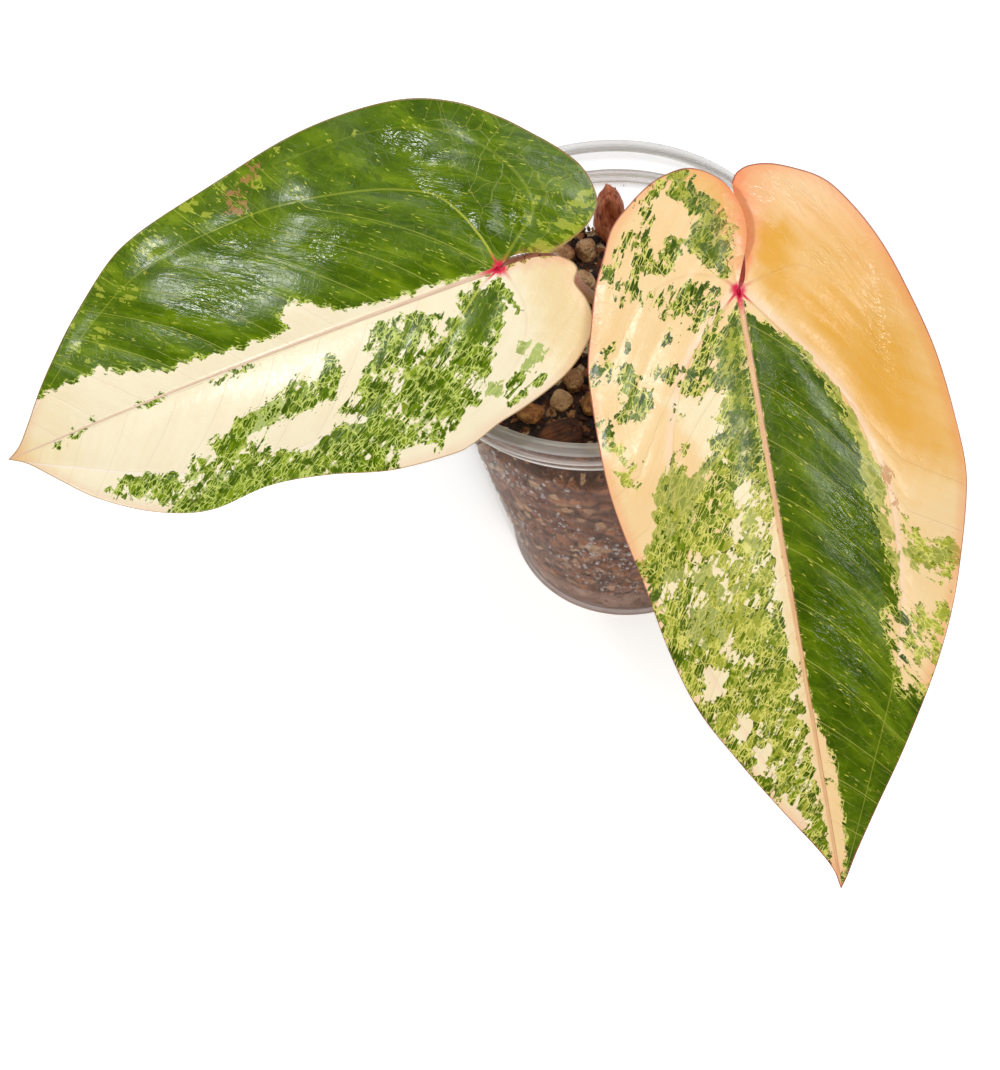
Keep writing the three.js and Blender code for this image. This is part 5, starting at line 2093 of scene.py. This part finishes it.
@dataclass
class Filling:
    """The potting mix, the drainage layer below it, and the loose pieces that show on top."""

    cup: Cup
    drain_bottom: float = 1.5
    drain_top: float = 12.0
    seat_gap: float = 0.3
    top: float = 79.4
    edge_drop: float = 2.5
    swell: float = 1.2
    swell_pitch: float = 34.0
    knob: float = 0.5
    knob_pitch: float = 13.0
    mound: float = 1.6
    mound_radius: float = 14.0
    clod_pitch: float = 3.4
    grit_pitch: float = 1.5
    side_pitch: float = 3.6
    stone_pitch: float = 4.2
    lumps: int = 46
    lump_seed: int = 7
    lump_circle: float = 37.5
    grains: int = 2300
    grain_seed: int = 29
    grain_circle: float = 41.2

    def surface_height(self, x: Array, y: Array) -> Array:
        """Height of the soil's top: slow swells, short knobs and a mound round the stem.

        Args:
            x: Places to the right.
            y: Places to the back.

        Returns:
            The heights.
        """
        turn = 2 * np.pi / self.swell_pitch
        roll = np.sin(turn * x + 1.1) * np.cos(turn * y - 0.4)
        short = np.sin(2 * np.pi / self.knob_pitch * (x + 0.8 * y))
        near = np.exp(-((np.hypot(x - STEM_X, y) / self.mound_radius) ** 2))
        return self.top + self.swell * roll + self.knob * short + self.mound * near

    def crust(self, x: Array, y: Array) -> Array:
        """The soil's top with its crumbs: domes over drawn cells of two sizes.

        Args:
            x: Places to the right.
            y: Places to the back.

        Returns:
            The heights.
        """
        flat = np.stack([x, y], -1)
        wide, wide_draw = nearest_cell(flat, self.clod_pitch, 61)
        small, small_draw = nearest_cell(flat, self.grit_pitch, 71)
        domes = (wide_draw * 2.0 - 0.9) * (1 - smoothstep(wide, 0.2, 0.75))
        bits = (small_draw - 0.3) * 0.8 * (1 - smoothstep(small, 0.15, 0.7))
        return self.surface_height(x, y) + domes + bits

    def side_radius(self, turn: Array, z: Array) -> Array:
        """Radius of the soil's side: it touches the wall at each bit and falls back between them.

        Args:
            turn: Places round the axis, in radians.
            z: Their heights.

        Returns:
            The radii.
        """
        reach = self.cup.inner(z)
        gap, drawn = nearest_cell(circled(reach, turn, z), self.side_pitch, 83)
        return reach - self.seat_gap - (0.25 + 1.1 * drawn) * smoothstep(gap, 0.25, 0.8)

    def body(self) -> Surface:
        """The mix: one closed skin, up its side and in over its top.

        Returns:
            The surface.
        """
        sides, rows, rings = 240, 70, 74
        turn = turns(sides)
        bottom = self.drain_top + self.seat_gap
        z = np.linspace(bottom, self.top - self.edge_drop, rows)[:, None] + 0 * turn
        wall = circled(self.side_radius(turn + 0 * z, z), turn, z)
        share = np.linspace(1.0, 0.012, rings)[:, None]
        cap = circled((self.cup.inner(self.top) - self.seat_gap - 0.5) * share, turn, 0.0)
        cap[..., 2] = self.crust(cap[..., 0], cap[..., 1])
        return loft(np.concatenate([wall, cap]))

    def lump_places(self, taken: list) -> tuple[Array, Array]:
        """Where the frame's fused lumps lie, by the same seeded rule as its solids.

        Args:
            taken: Circles that the lumps keep clear of, as x, y and radius.

        Returns:
            The places and the radii.
        """
        run = draws(self.lump_seed)
        found: list = []
        while len(found) < self.lumps:
            reach = self.lump_circle * math.sqrt(next(run))
            turn = 2 * math.pi * next(run)
            radius = 1.6 + 1.6 * next(run)
            x, y = reach * math.cos(turn), reach * math.sin(turn)
            if all(math.hypot(x - tx, y - ty) > tr + radius + 0.6 for tx, ty, tr in taken):
                found.append((x, y, radius))
                taken.append((x, y, 0.5 * radius))
        x, y, radius = np.array(found).T
        return np.stack([x, y, self.surface_height(x, y) + 0.25 * radius], -1), radius

    def bits(self, taken: list) -> tuple[Surface, Array]:
        """Loose bits on the top: the frame's lumps, and thousands of smaller splinters and grains.

        Args:
            taken: Circles of the pieces that lie on the soil.

        Returns:
            The surface and a tint for each of its points.
        """
        random = np.random.default_rng(self.grain_seed)
        places, radius = self.lump_places(list(taken))
        reach = self.grain_circle * np.sqrt(random.uniform(0, 1, self.grains))
        turn = random.uniform(0, 2 * np.pi, self.grains)
        x, y = reach * np.cos(turn), reach * np.sin(turn)
        size = 0.35 + 1.5 * random.power(0.6, self.grains) * random.uniform(0.2, 1, self.grains)
        loose = np.stack([x, y, self.crust(x, y) + 0.15 * size], -1)
        spans = ((0.9, 1.5), (0.5, 0.9), (0.3, 0.7))
        flatness = np.stack([random.uniform(low, high, self.grains) for low, high in spans], -1)
        scale = np.vstack([radius[:, None] * [1.0, 0.95, 0.85], size[:, None] * flatness])
        middle = np.vstack([places, loose])
        turned = tumbled(random, len(middle))
        tint = np.clip(random.power(0.75, len(middle)), 0.01, 1.0)
        bit = crumb()
        return strewn(bit, turned * scale[:, None], middle), np.repeat(tint, len(bit.points))

    def mix(self, taken: list) -> bpy.types.Object:
        """The potting mix as one piece.

        Args:
            taken: Circles of the pieces that lie on the soil.

        Returns:
            The piece.
        """
        body = self.body()
        bits, tint = self.bits(taken)
        smooth = np.repeat([1, 0], [len(body.quads) + len(body.tris), len(bits.tris)])
        piece = body.joined(bits).piece("potting_mix", smooth)
        put_values(piece, "tint", np.concatenate([np.zeros(len(body.points)), tint]))
        return piece

    def drainage(self) -> bpy.types.Object:
        """The drainage layer: a squat turned body whose side shows its rounded stones.

        Returns:
            The piece.
        """
        sides, rows = 220, 22
        turn = turns(sides)
        z = np.linspace(self.drain_bottom, self.drain_top, rows)[:, None] + 0 * turn
        foot = 1.6 * (1 - smoothstep(z, self.drain_bottom, self.drain_bottom + 1.8))
        reach = self.cup.inner(np.maximum(z, 3.0)) - self.seat_gap - foot
        gap, drawn = nearest_cell(circled(reach, turn, z), self.stone_pitch, 95)
        reach = reach - (0.2 + 0.9 * drawn) * smoothstep(gap, 0.3, 0.8)
        return loft(circled(reach, turn, z)).piece("drainage_stones")

    def build(self, taken: list, mix: SoilFinish) -> None:
        """Makes and dresses the mix and the drainage layer.

        Args:
            taken: Circles of the pieces that lie on the soil.
            mix: The mix's finish.
        """
        seat(self.mix(taken), "soil", mix.material("potting_mix_bits"), "substrate")
        fogged = PumiceFinish(tone(184, 152, 134), tone(146, 112, 94), tone(80, 56, 46))
        seat(self.drainage(), "pumice", fogged.material("drainage_pumice"), "drainage_layer")


@dataclass(frozen=True)
class Chip:
    """A bark chip: its place, size, turn about the vertical and lean, as in the frame."""

    node: str
    at: tuple
    size: tuple
    turn: float
    lean: float
    seed: int
    finish: BarkFinish
    cleft: float = 0.0
    point: float = 0.0

    def outline(self, turn: Array) -> Array:
        """The chip's reach at each turn: drawn corners joined by soft chords.

        Args:
            turn: Angles in radians.

        Returns:
            A share of the chip's half length or width for each.
        """
        run = draws(self.seed)
        count = 7
        corners = np.array([0.78 + 0.3 * next(run) for _ in range(count)])
        looped = np.append(corners, corners[0])
        at = turn / (2 * np.pi) * count
        part = smoothstep(at % 1.0, 0.0, 1.0)
        index = at.astype(int) % count
        chord = 1 - 0.07 * np.sin(np.pi * (at % 1.0))
        return blend(looped[index], looped[index + 1], part) * chord

    def face(self, edge: Array) -> Array:
        """An end face: its edge drawn in towards the middle, over ridges and a cleft.

        Args:
            edge: The face's outline, all at one height.

        Returns:
            Rings of points from the edge inwards.
        """
        height = edge[0, 2]
        shares = np.linspace(0.94, 0.02, 22)[:, None, None]
        flat = edge[None] * [1, 1, 0] * shares + [0, 0, height]
        u, v, inward = flat[..., 0], flat[..., 1], 1 - shares[..., 0]
        ridge = soft_noise(np.stack([u * 0.22, v, 0 * u], -1), 1.0, self.seed + 5)
        groove = np.exp(-((v - 0.12 * u) / 0.9) ** 2) * self.cleft
        lift = (0.22 * ridge - 0.1) * smoothstep(inward, 0.02, 0.3)
        flat[..., 2] += np.sign(height) * (lift - groove * smoothstep(inward, 0.02, 0.25))
        return flat

    def build(self) -> bpy.types.Object:
        """Makes the chip: layers from its foot face to its top face, with torn fibres and a cleft.

        Returns:
            The piece.
        """
        length, width, thick = self.size
        sides, layers = 84, 26
        turn = turns(sides)
        level = np.linspace(-0.5, 0.5, layers)
        spread = np.interp(level, [-0.5, -0.28, 0.22, 0.5], [0.86, 1.0, 0.96, 0.74])
        reach = spread[:, None] * self.outline(turn)[None]
        x = 0.5 * length * reach * np.cos(turn)
        y = 0.5 * width * reach * np.sin(turn) * (1 - self.point * smoothstep(x / length, 0.08, 0.52))
        z = np.repeat(level[:, None] * thick, sides, 1)
        torn = soft_noise(np.stack([x * 0.25, y, z * 1.6], -1), 0.9, self.seed)
        frayed = 1 + 0.045 * torn * smoothstep(np.abs(np.cos(turn)), 0.2, 1.0)
        local = np.stack([x * frayed, y * (1 + 0.05 * torn), z], -1)
        skin = loft(np.concatenate([self.face(local[0])[::-1], local, self.face(local[-1])]))
        own = skin.points[:, [1, 2, 0]].copy()
        lean, spin = turned_about(np.array([[0, 1.0, 0], [0, 0, 1.0]]), np.radians([-self.lean, self.turn]))
        skin.points = skin.points @ (spin @ lean).T + np.array(self.at)
        piece = skin.piece(self.node.replace("bark_chip_", "bark_"))
        put_values(piece, "chip_mm", own)
        seat(piece, "bark", self.finish.material(piece.name + "_bark"), self.node)
        return piece


@dataclass(frozen=True)
class Pebble:
    """A pumice pebble: a squashed ball with the frame's own knobs and finer ones."""

    number: int
    at: tuple
    radius: float

    def build(self, material: bpy.types.Material) -> bpy.types.Object:
        """Makes the pebble.

        Its reach is its radius, swollen by a product of sines across and a sine upwards, and roughened
        by noise.

        Args:
            material: Its finish.

        Returns:
            The piece.
        """
        run = draws(299 + self.number)
        squash = np.array([0.85 + 0.3 * next(run), 0.85 + 0.3 * next(run), 0.75 + 0.25 * next(run)])
        phase = [6 * next(run) for _ in range(3)]
        tilt = np.linspace(0, np.pi, 34)[1:-1, None]
        ball = circled(np.sin(tilt), turns(48), -np.cos(tilt))
        knobs = 1 + 0.1 * np.sin(3.1 * ball[..., 0] + phase[0]) * np.sin(2.7 * ball[..., 1] + phase[1])
        knobs = knobs + 0.08 * np.sin(4.3 * ball[..., 2] + phase[2])
        knobs = knobs + 0.07 * soft_noise(ball, 0.55, self.number) + 0.02 * soft_noise(ball, 0.14, 40)
        rings = ball * (self.radius * knobs)[..., None] * squash + np.array(self.at)
        piece = loft(rings).piece(f"pebble_{self.number}")
        seat(piece, "pumice", material, f"pumice_pebble_{self.number}")
        return piece


# Stem and petioles


@dataclass(frozen=True)
class StalkFinish:
    """Stem or petiole skin: a colour along its length, fine streaks and pale freckles."""

    low: Colour
    middle: Colour
    high: Colour
    streak: Colour
    gloss: float
    freckle: Colour = tone(214, 196, 150)

    def material(self, name: str) -> bpy.types.Material:
        """Writes the finish. The piece stores how far along it a place lies, and its fibres' place.

        Args:
            name: The material's name.

        Returns:
            The material.
        """
        material, write, shader = new_material(name)
        along = write.value("along")
        own = write.vector("stalk_mm")
        fibre = effects.use(write, "grain", {"Place": own, "Pitch": 0.45}).outputs[0]
        drift = write.plus(write.noise(own, 4.0, 3.0), 0.24, -0.12)
        drifted = write.math("ADD", along, drift, clamp=True)
        colour = write.ramp(drifted, (0.0, self.low), (0.5, self.middle), (0.97, self.high))
        colour = write.over(fibre, 0.45, colour, self.streak)
        cells = write.cells(own, 0.7)
        spot = write.rise(cells.outputs["Distance"], 0.3, 0.16)
        freckle = write.times(spot, write.rise(write.drawn(cells), 0.7, 0.75))
        colour = write.over(freckle, 0.5, colour, self.freckle)
        write.feed(shader["Base Color"], colour)
        write.feed(shader["Normal"], write.bump(fibre, 0.12, 0.8))
        write.feed(shader["Roughness"], write.rise(fibre, 0.0, 1.0, self.gloss, self.gloss + 0.15))
        return material


@dataclass
class Stem:
    """The short stem with its leaf scars, and the roots that go down into the mix."""

    x: float = STEM_X
    rings: tuple = ((58, 2.6), (63, 4.6), (72, 5.4), (80, 5.8), (83.5, 6.3), (85.5, 5.5), (89, 6.2),
                    (91, 5.5), (94, 5.7))
    roots: int = 6
    root_start: float = 74.0
    root_radius: float = 1.7
    root_tip: float = 0.9
    root_reach: float = 24.0
    root_depth: float = 34.0

    def trunk(self) -> Surface:
        """The stem: its radius runs through the frame's rings, with fine rings and a domed crown.

        Returns:
            The surface.
        """
        rows = np.array(self.rings, float)
        z = np.linspace(rows[0, 0], rows[-1, 0], 120)
        turn = turns(64)
        radius = np.interp(z, rows[:, 0], rows[:, 1])
        soft = np.convolve(np.pad(radius, 3, "edge"), np.ones(7) / 7, "valid")[:, None]
        rough = soft_noise(circled(6.0, turn, z[:, None]), 2.2, 17)
        fine = 0.12 * np.sin(2 * np.pi * z / 1.6)[:, None]
        reach = soft - 0.15 + 0.22 * rough + fine
        rings = circled(reach, turn, z[:, None]) + [self.x, 0, 0]
        edge = (reach[-1] - 0.2)[None, :, None]
        spread = np.array([0.9, 0.7, 0.45, 0.15])[:, None, None]
        lift = np.array([0.0, 0.0, 1.0]) * (0.25 * np.sqrt(1 - spread**2))
        crown = circled(1.0, turn, 0.0) * edge * spread
        crown = crown + [self.x, 0, rows[-1, 0] - 0.2] + lift
        return loft(np.concatenate([rings, crown]))

    def root(self, index: int) -> Surface:
        """One root: out from the stem, then down, by the frame's own draws.

        Args:
            index: Which root, from 0.

        Returns:
            The surface.
        """
        run = draws(31 + index * 17)
        turn = 2 * math.pi * (index + 0.3 * next(run)) / self.roots
        reach = self.root_reach * (0.6 + 0.4 * next(run))
        depth = self.root_depth * (0.7 + 0.3 * next(run))
        out = np.array([math.cos(turn), math.sin(turn), 0.0])
        start = np.array([self.x, 0, self.root_start - 2 * (index % 3)])
        down = np.array([0, 0, -depth])
        points = np.stack([start + out * reach * share + down * fall
                           for share, fall in ((0, 0), (0.35, 0.12), (0.75, 0.45), (1, 1))])
        path = evenly(spline(points, 200, 0.5), 60)
        radius = np.linspace(self.root_radius, self.root_tip, 60)
        side = np.array([-out[1], out[0], 0.0])
        return tube(path, radius, 16, side)

    def build(self) -> bpy.types.Object:
        """Makes and dresses the stem with its roots.

        Returns:
            The piece.
        """
        skin = self.trunk()
        for index in range(self.roots):
            skin = skin.joined(self.root(index))
        piece = skin.piece("stem_and_roots")
        put_values(piece, "along", np.clip((skin.points[:, 2] - 74) / 22, 0, 1))
        put_values(piece, "stalk_mm", skin.points)
        shades = (tone(150, 120, 84), tone(122, 104, 58), tone(118, 128, 62), tone(84, 58, 34))
        seat(piece, "stem", StalkFinish(*shades, gloss=0.5).material("stem_skin"), "stem")
        return piece


@dataclass
class Petiole:
    """A leaf stalk: it leaves the crown, arches, thickens at its knee and meets the blade."""

    name: str
    node: str
    blade: Blade
    rise: tuple
    knee: tuple
    high: Colour
    base: float = 2.3
    middle: float = 1.65
    knee_radius: float = 2.05
    tip: float = 1.45
    steps: int = 260
    sides: int = 36

    def build(self) -> bpy.types.Object:
        """Makes the stalk: a round skin on the frame's route, with a shallow channel and fine ribs.

        Returns:
            The piece.
        """
        points = np.vstack([np.array(self.rise, float), self.blade.placed(np.array(self.knee, float))])
        path = evenly(spline(points, 900, 0.5), self.steps)
        along = np.linspace(0, 1, self.steps)
        shaft = blend(self.base, self.middle, smoothstep(along, 0.0, 0.25))
        knee = blend(shaft, self.knee_radius, smoothstep(along, 0.8, 0.9))
        radius = blend(knee, self.tip, smoothstep(along, 0.95, 1.0))[:, None]
        turn = turns(self.sides)
        channel = 0.1 * np.exp(-((((turn - np.pi / 2 + np.pi) % (2 * np.pi)) - np.pi) / 0.5) ** 2)
        wrinkle = 0.035 * np.sin(along * 420)[:, None] * smoothstep(along, 0.78, 0.86)[:, None]
        ribs = 0.015 * np.cos(9 * turn)
        reach = radius * (0.97 - channel + ribs + wrinkle)
        skin = tube(path, reach, self.sides, np.array([1.0, 0.0, 0.0]))
        piece = skin.piece(self.name)
        far = np.concatenate([np.repeat(along, self.sides), [0, 1]])
        length = np.linalg.norm(np.diff(path, axis=0), axis=1).sum()
        around = np.concatenate([np.tile(turn, self.steps), [0, 0]])
        put_values(piece, "along", far)
        put_values(piece, "stalk_mm", circled(1.7, around, far * length))
        shades = (tone(120, 112, 56), tone(160, 116, 76), self.high, tone(124, 72, 52))
        seat(piece, "petiole", StalkFinish(*shades, gloss=0.32).material(self.name + "_skin"), self.node)
        return piece


# Studio


@dataclass
class Studio:
    """White floor, soft daylight and the camera."""

    picture: tuple = (1000, 1070)
    focal_pixels: float = 2000.0
    elevation: float = 52.0
    distance: float = 497.0
    roll: float = 8.4
    rim_centre_pixel: tuple = (598, 289)
    rim_height: float = 107.0
    sensor: float = 36.0

    def camera(self) -> None:
        """Sets the camera.

        It stands at its distance and elevation from the middle of the cup's rim, looks at it, rolls,
        and then turns until the rim's middle falls on its pixel.
        """
        rise = math.radians(self.elevation)
        stand = np.array([0, -math.cos(rise), math.sin(rise)]) * self.distance
        ahead = -stand / self.distance
        right = np.array([1.0, 0.0, 0.0])
        rows = np.array([right, np.cross(right, ahead), -ahead])
        (width, height), (column, row) = self.picture, self.rim_centre_pixel
        sight = np.array([column - width / 2, height / 2 - row, -self.focal_pixels])
        sight /= np.linalg.norm(sight)
        axis = np.cross([0, 0, -1.0], sight)
        angle = math.asin(np.linalg.norm(axis))
        aim = turned_about((axis / np.linalg.norm(axis))[None], np.array([angle]))[0]
        spin = turned_about(np.array([[0, 0, 1.0]]), np.array([math.radians(self.roll)]))[0]
        turned = aim @ spin @ rows
        data = bpy.data.cameras.new("camera")
        data.sensor_width = self.sensor
        data.lens = self.focal_pixels / max(width, height) * self.sensor
        data.clip_end = 20
        holder = bpy.data.objects.new("camera", data)
        place = Vector((stand + [0, 0, self.rim_height]) * MM)
        holder.matrix_world = Matrix.Translation(place) @ Matrix(turned.T.tolist()).to_4x4()
        bpy.context.scene.collection.objects.link(holder)
        bpy.context.scene.camera = holder

    def room(self) -> bpy.types.World:
        """A pale room that is dimmer low in front, so the blades keep their colour under the lamps.

        Returns:
            The world.
        """
        world = bpy.data.worlds.new("soft_room")
        world.use_nodes = True
        write = Nodes(world.node_tree)
        seen = write.add("ShaderNodeTexCoord").outputs["Generated"]
        part = write.parts(seen)
        lift = write.plus(part["Z"], 0.35, part["Y"])
        share = write.rise(lift, -0.55, 0.35)
        shade = write.mix(share, grey(0.05), grey(0.32))
        background = world.node_tree.nodes["Background"]
        write.feed(background.inputs["Color"], shade)
        background.inputs["Strength"].default_value = 1.0
        return world

    def lamp(self, name: str, at: tuple, size: tuple, watts: float) -> None:
        """Hangs a soft rectangular light that faces the plant.

        Args:
            name: The light's name.
            at: Where it hangs, in metres.
            size: Its width and height in metres.
            watts: Its power.
        """
        data = bpy.data.lights.new(name, "AREA")
        data.shape = "RECTANGLE"
        data.energy = watts
        data.size, data.size_y = size
        holder = bpy.data.objects.new(name, data)
        holder.location = at
        aim = Vector((0.0, -0.03, 0.13)) - Vector(at)
        holder.rotation_euler = aim.to_track_quat("-Z", "Y").to_euler()
        bpy.context.scene.collection.objects.link(holder)

    def floor(self) -> None:
        """Lays the floor: a wide white sheet, faintly uneven."""
        corners = np.array([[-1, -1], [1, -1], [1, 1], [-1, 1]]) * 3000.0
        points = np.column_stack([corners, np.full(4, -0.1)])
        piece = Surface(points, quads=np.array([[0, 1, 2, 3]])).piece("floor")
        material, write, shader = new_material("floor_white")
        cloud = write.noise(write.place(), 90.0, 2.0)
        write.feed(shader["Base Color"], write.mix(cloud, grey(0.93), grey(0.95)))
        shader["Roughness"].default_value = 0.9
        shader["Emission Color"].default_value = grey(1.0)
        shader["Emission Strength"].default_value = 0.45
        piece.data.materials.append(material)

    def build(self) -> None:
        """Sets the whole studio."""
        scene = bpy.context.scene
        scene.view_settings.view_transform = "Standard"
        scene.world = self.room()
        self.floor()
        self.lamp("window", (-0.69, -0.50, 0.99), (0.17, 0.2), 4.7)
        self.lamp("tall_window", (0.17, -0.78, 1.02), (0.07, 0.7), 3.8)
        self.lamp("ceiling", (0.35, 0.15, 1.34), (0.9, 0.9), 7.0)
        self.camera()


CHIP_RED = BarkFinish(tone(120, 48, 28), tone(206, 108, 72), tone(232, 152, 112))
CHIP_DARK = BarkFinish(tone(36, 16, 8), tone(84, 42, 20), tone(128, 74, 36))
CHIP_AMBER = BarkFinish(tone(92, 48, 20), tone(158, 98, 46), tone(204, 146, 82))


def chips() -> tuple[Chip, ...]:
    """The eight bark chips, in the frame's order. The first, which stands, ends in a point.

    Returns:
        The chips.
    """
    rows = (
        ("tall", (6, 37, 89.5), (25, 9, 4), 92, 85, CHIP_RED, 1.5),
        ("flat", (-14.2, -24.5, 82.2), (13, 9, 3.4), 8, 8, CHIP_DARK, 0.6),
        ("amber", (-5.5, -16.5, 82), (8, 6, 2.6), 60, 25, CHIP_AMBER, 0.0),
        ("tan", (-21.5, -16.5, 82.2), (8.5, 6, 2.8), -35, 18, CHIP_AMBER, 0.0),
        ("left", (-29, 8, 82), (14, 8, 3.2), 110, 12, CHIP_DARK, 0.3),
        ("rear", (-17, 27, 82), (12, 7, 3.2), -20, 15, CHIP_RED, 0.3),
        ("right", (28, 13, 82), (13, 8, 3.4), 65, 14, CHIP_DARK, 0.4),
        ("front", (20, -27, 82), (12, 8, 3), -25, 10, CHIP_RED, 0.3),
    )
    return tuple(
        Chip("bark_chip_" + name, at, size, turn, lean, 101 + 13 * index, finish, cleft, 0.6 * (index == 0))
        for index, (name, at, size, turn, lean, finish, cleft) in enumerate(rows)
    )


def pebbles() -> tuple[Pebble, ...]:
    """The nine pumice pebbles, in the frame's order.

    Returns:
        The pebbles.
    """
    rows = (
        ((-8.2, 32.6, 81.6), 3.3), ((-1.6, 33.6, 81.4), 3.1), ((-3.6, 22.8, 81.6), 3.4),
        ((-13.2, -13.8, 81.6), 2.7), ((-9.4, -8.2, 81.6), 2.9), ((-30.5, -9, 81.4), 2.8),
        ((15.5, 24, 81.6), 3.0), ((31, -7, 81.4), 2.9), ((6, -33, 81.4), 2.8),
    )
    return tuple(Pebble(index + 1, at, radius) for index, (at, radius) in enumerate(rows))


def petioles(left: Blade, right: Blade) -> tuple[Petiole, Petiole]:
    """The two leaf stalks on the frame's routes.

    Args:
        left: The left leaf's blade.
        right: The right leaf's blade.

    Returns:
        Both stalks.
    """
    return (
        Petiole(
            "left_petiole", "petiole_left", left,
            rise=((0.4, 0.4, 94.3), (0.3, -0.2, 99), (-0.7, -4.5, 109), (-2.4, -12.5, 121),
                  (-4.3, -18, 132), (-6.2, -20, 140.5)),
            knee=((-9, 1.6, -6), (-4.6, 0.9, -5.4), (-1.4, 0.3, -4), (-0.2, 0, -2.4), (0, 0, -0.6)),
            high=tone(214, 132, 108),
        ),
        Petiole(
            "right_petiole", "petiole_right", right,
            rise=((5.7, -0.4, 94.3), (5.9, -0.3, 99), (8.5, 0.8, 111), (14, 0, 126), (21.5, -6, 141),
                  (28, -17, 150.5)),
            knee=((-13, 0.6, -9.5), (-7.5, 0.9, -7), (-3.6, 0.6, -5.8), (-1, 0.2, -3.8), (-0.2, 0, -2.2),
                  (0, 0, -0.6)),
            high=tone(200, 70, 78),
        ),
    )


def main() -> None:
    """Builds and dresses every sub-assembly."""
    logging.basicConfig(level=logging.INFO, format="%(message)s")
    mix = SoilFinish()
    cup = Cup()
    cup.build(mix)
    barks, stones = chips(), pebbles()
    taken = [(chip.at[0], chip.at[1], 0.5 * chip.size[0]) for chip in barks]
    taken += [(stone.at[0], stone.at[1], stone.radius) for stone in stones]
    taken.append((STEM_X, 0.0, 8.0))
    Filling(cup).build(taken, mix)
    for chip in barks:
        chip.build()
    pumice = PumiceFinish().material("pebble_pumice")
    for stone in stones:
        stone.build(pumice)
    Stem().build()
    left, right = left_blade(), right_blade()
    for stalk in petioles(left, right):
        stalk.build()
    left.build()
    right.build()
    Studio().build()
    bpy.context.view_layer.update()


if __name__ == "__main__":
    main()
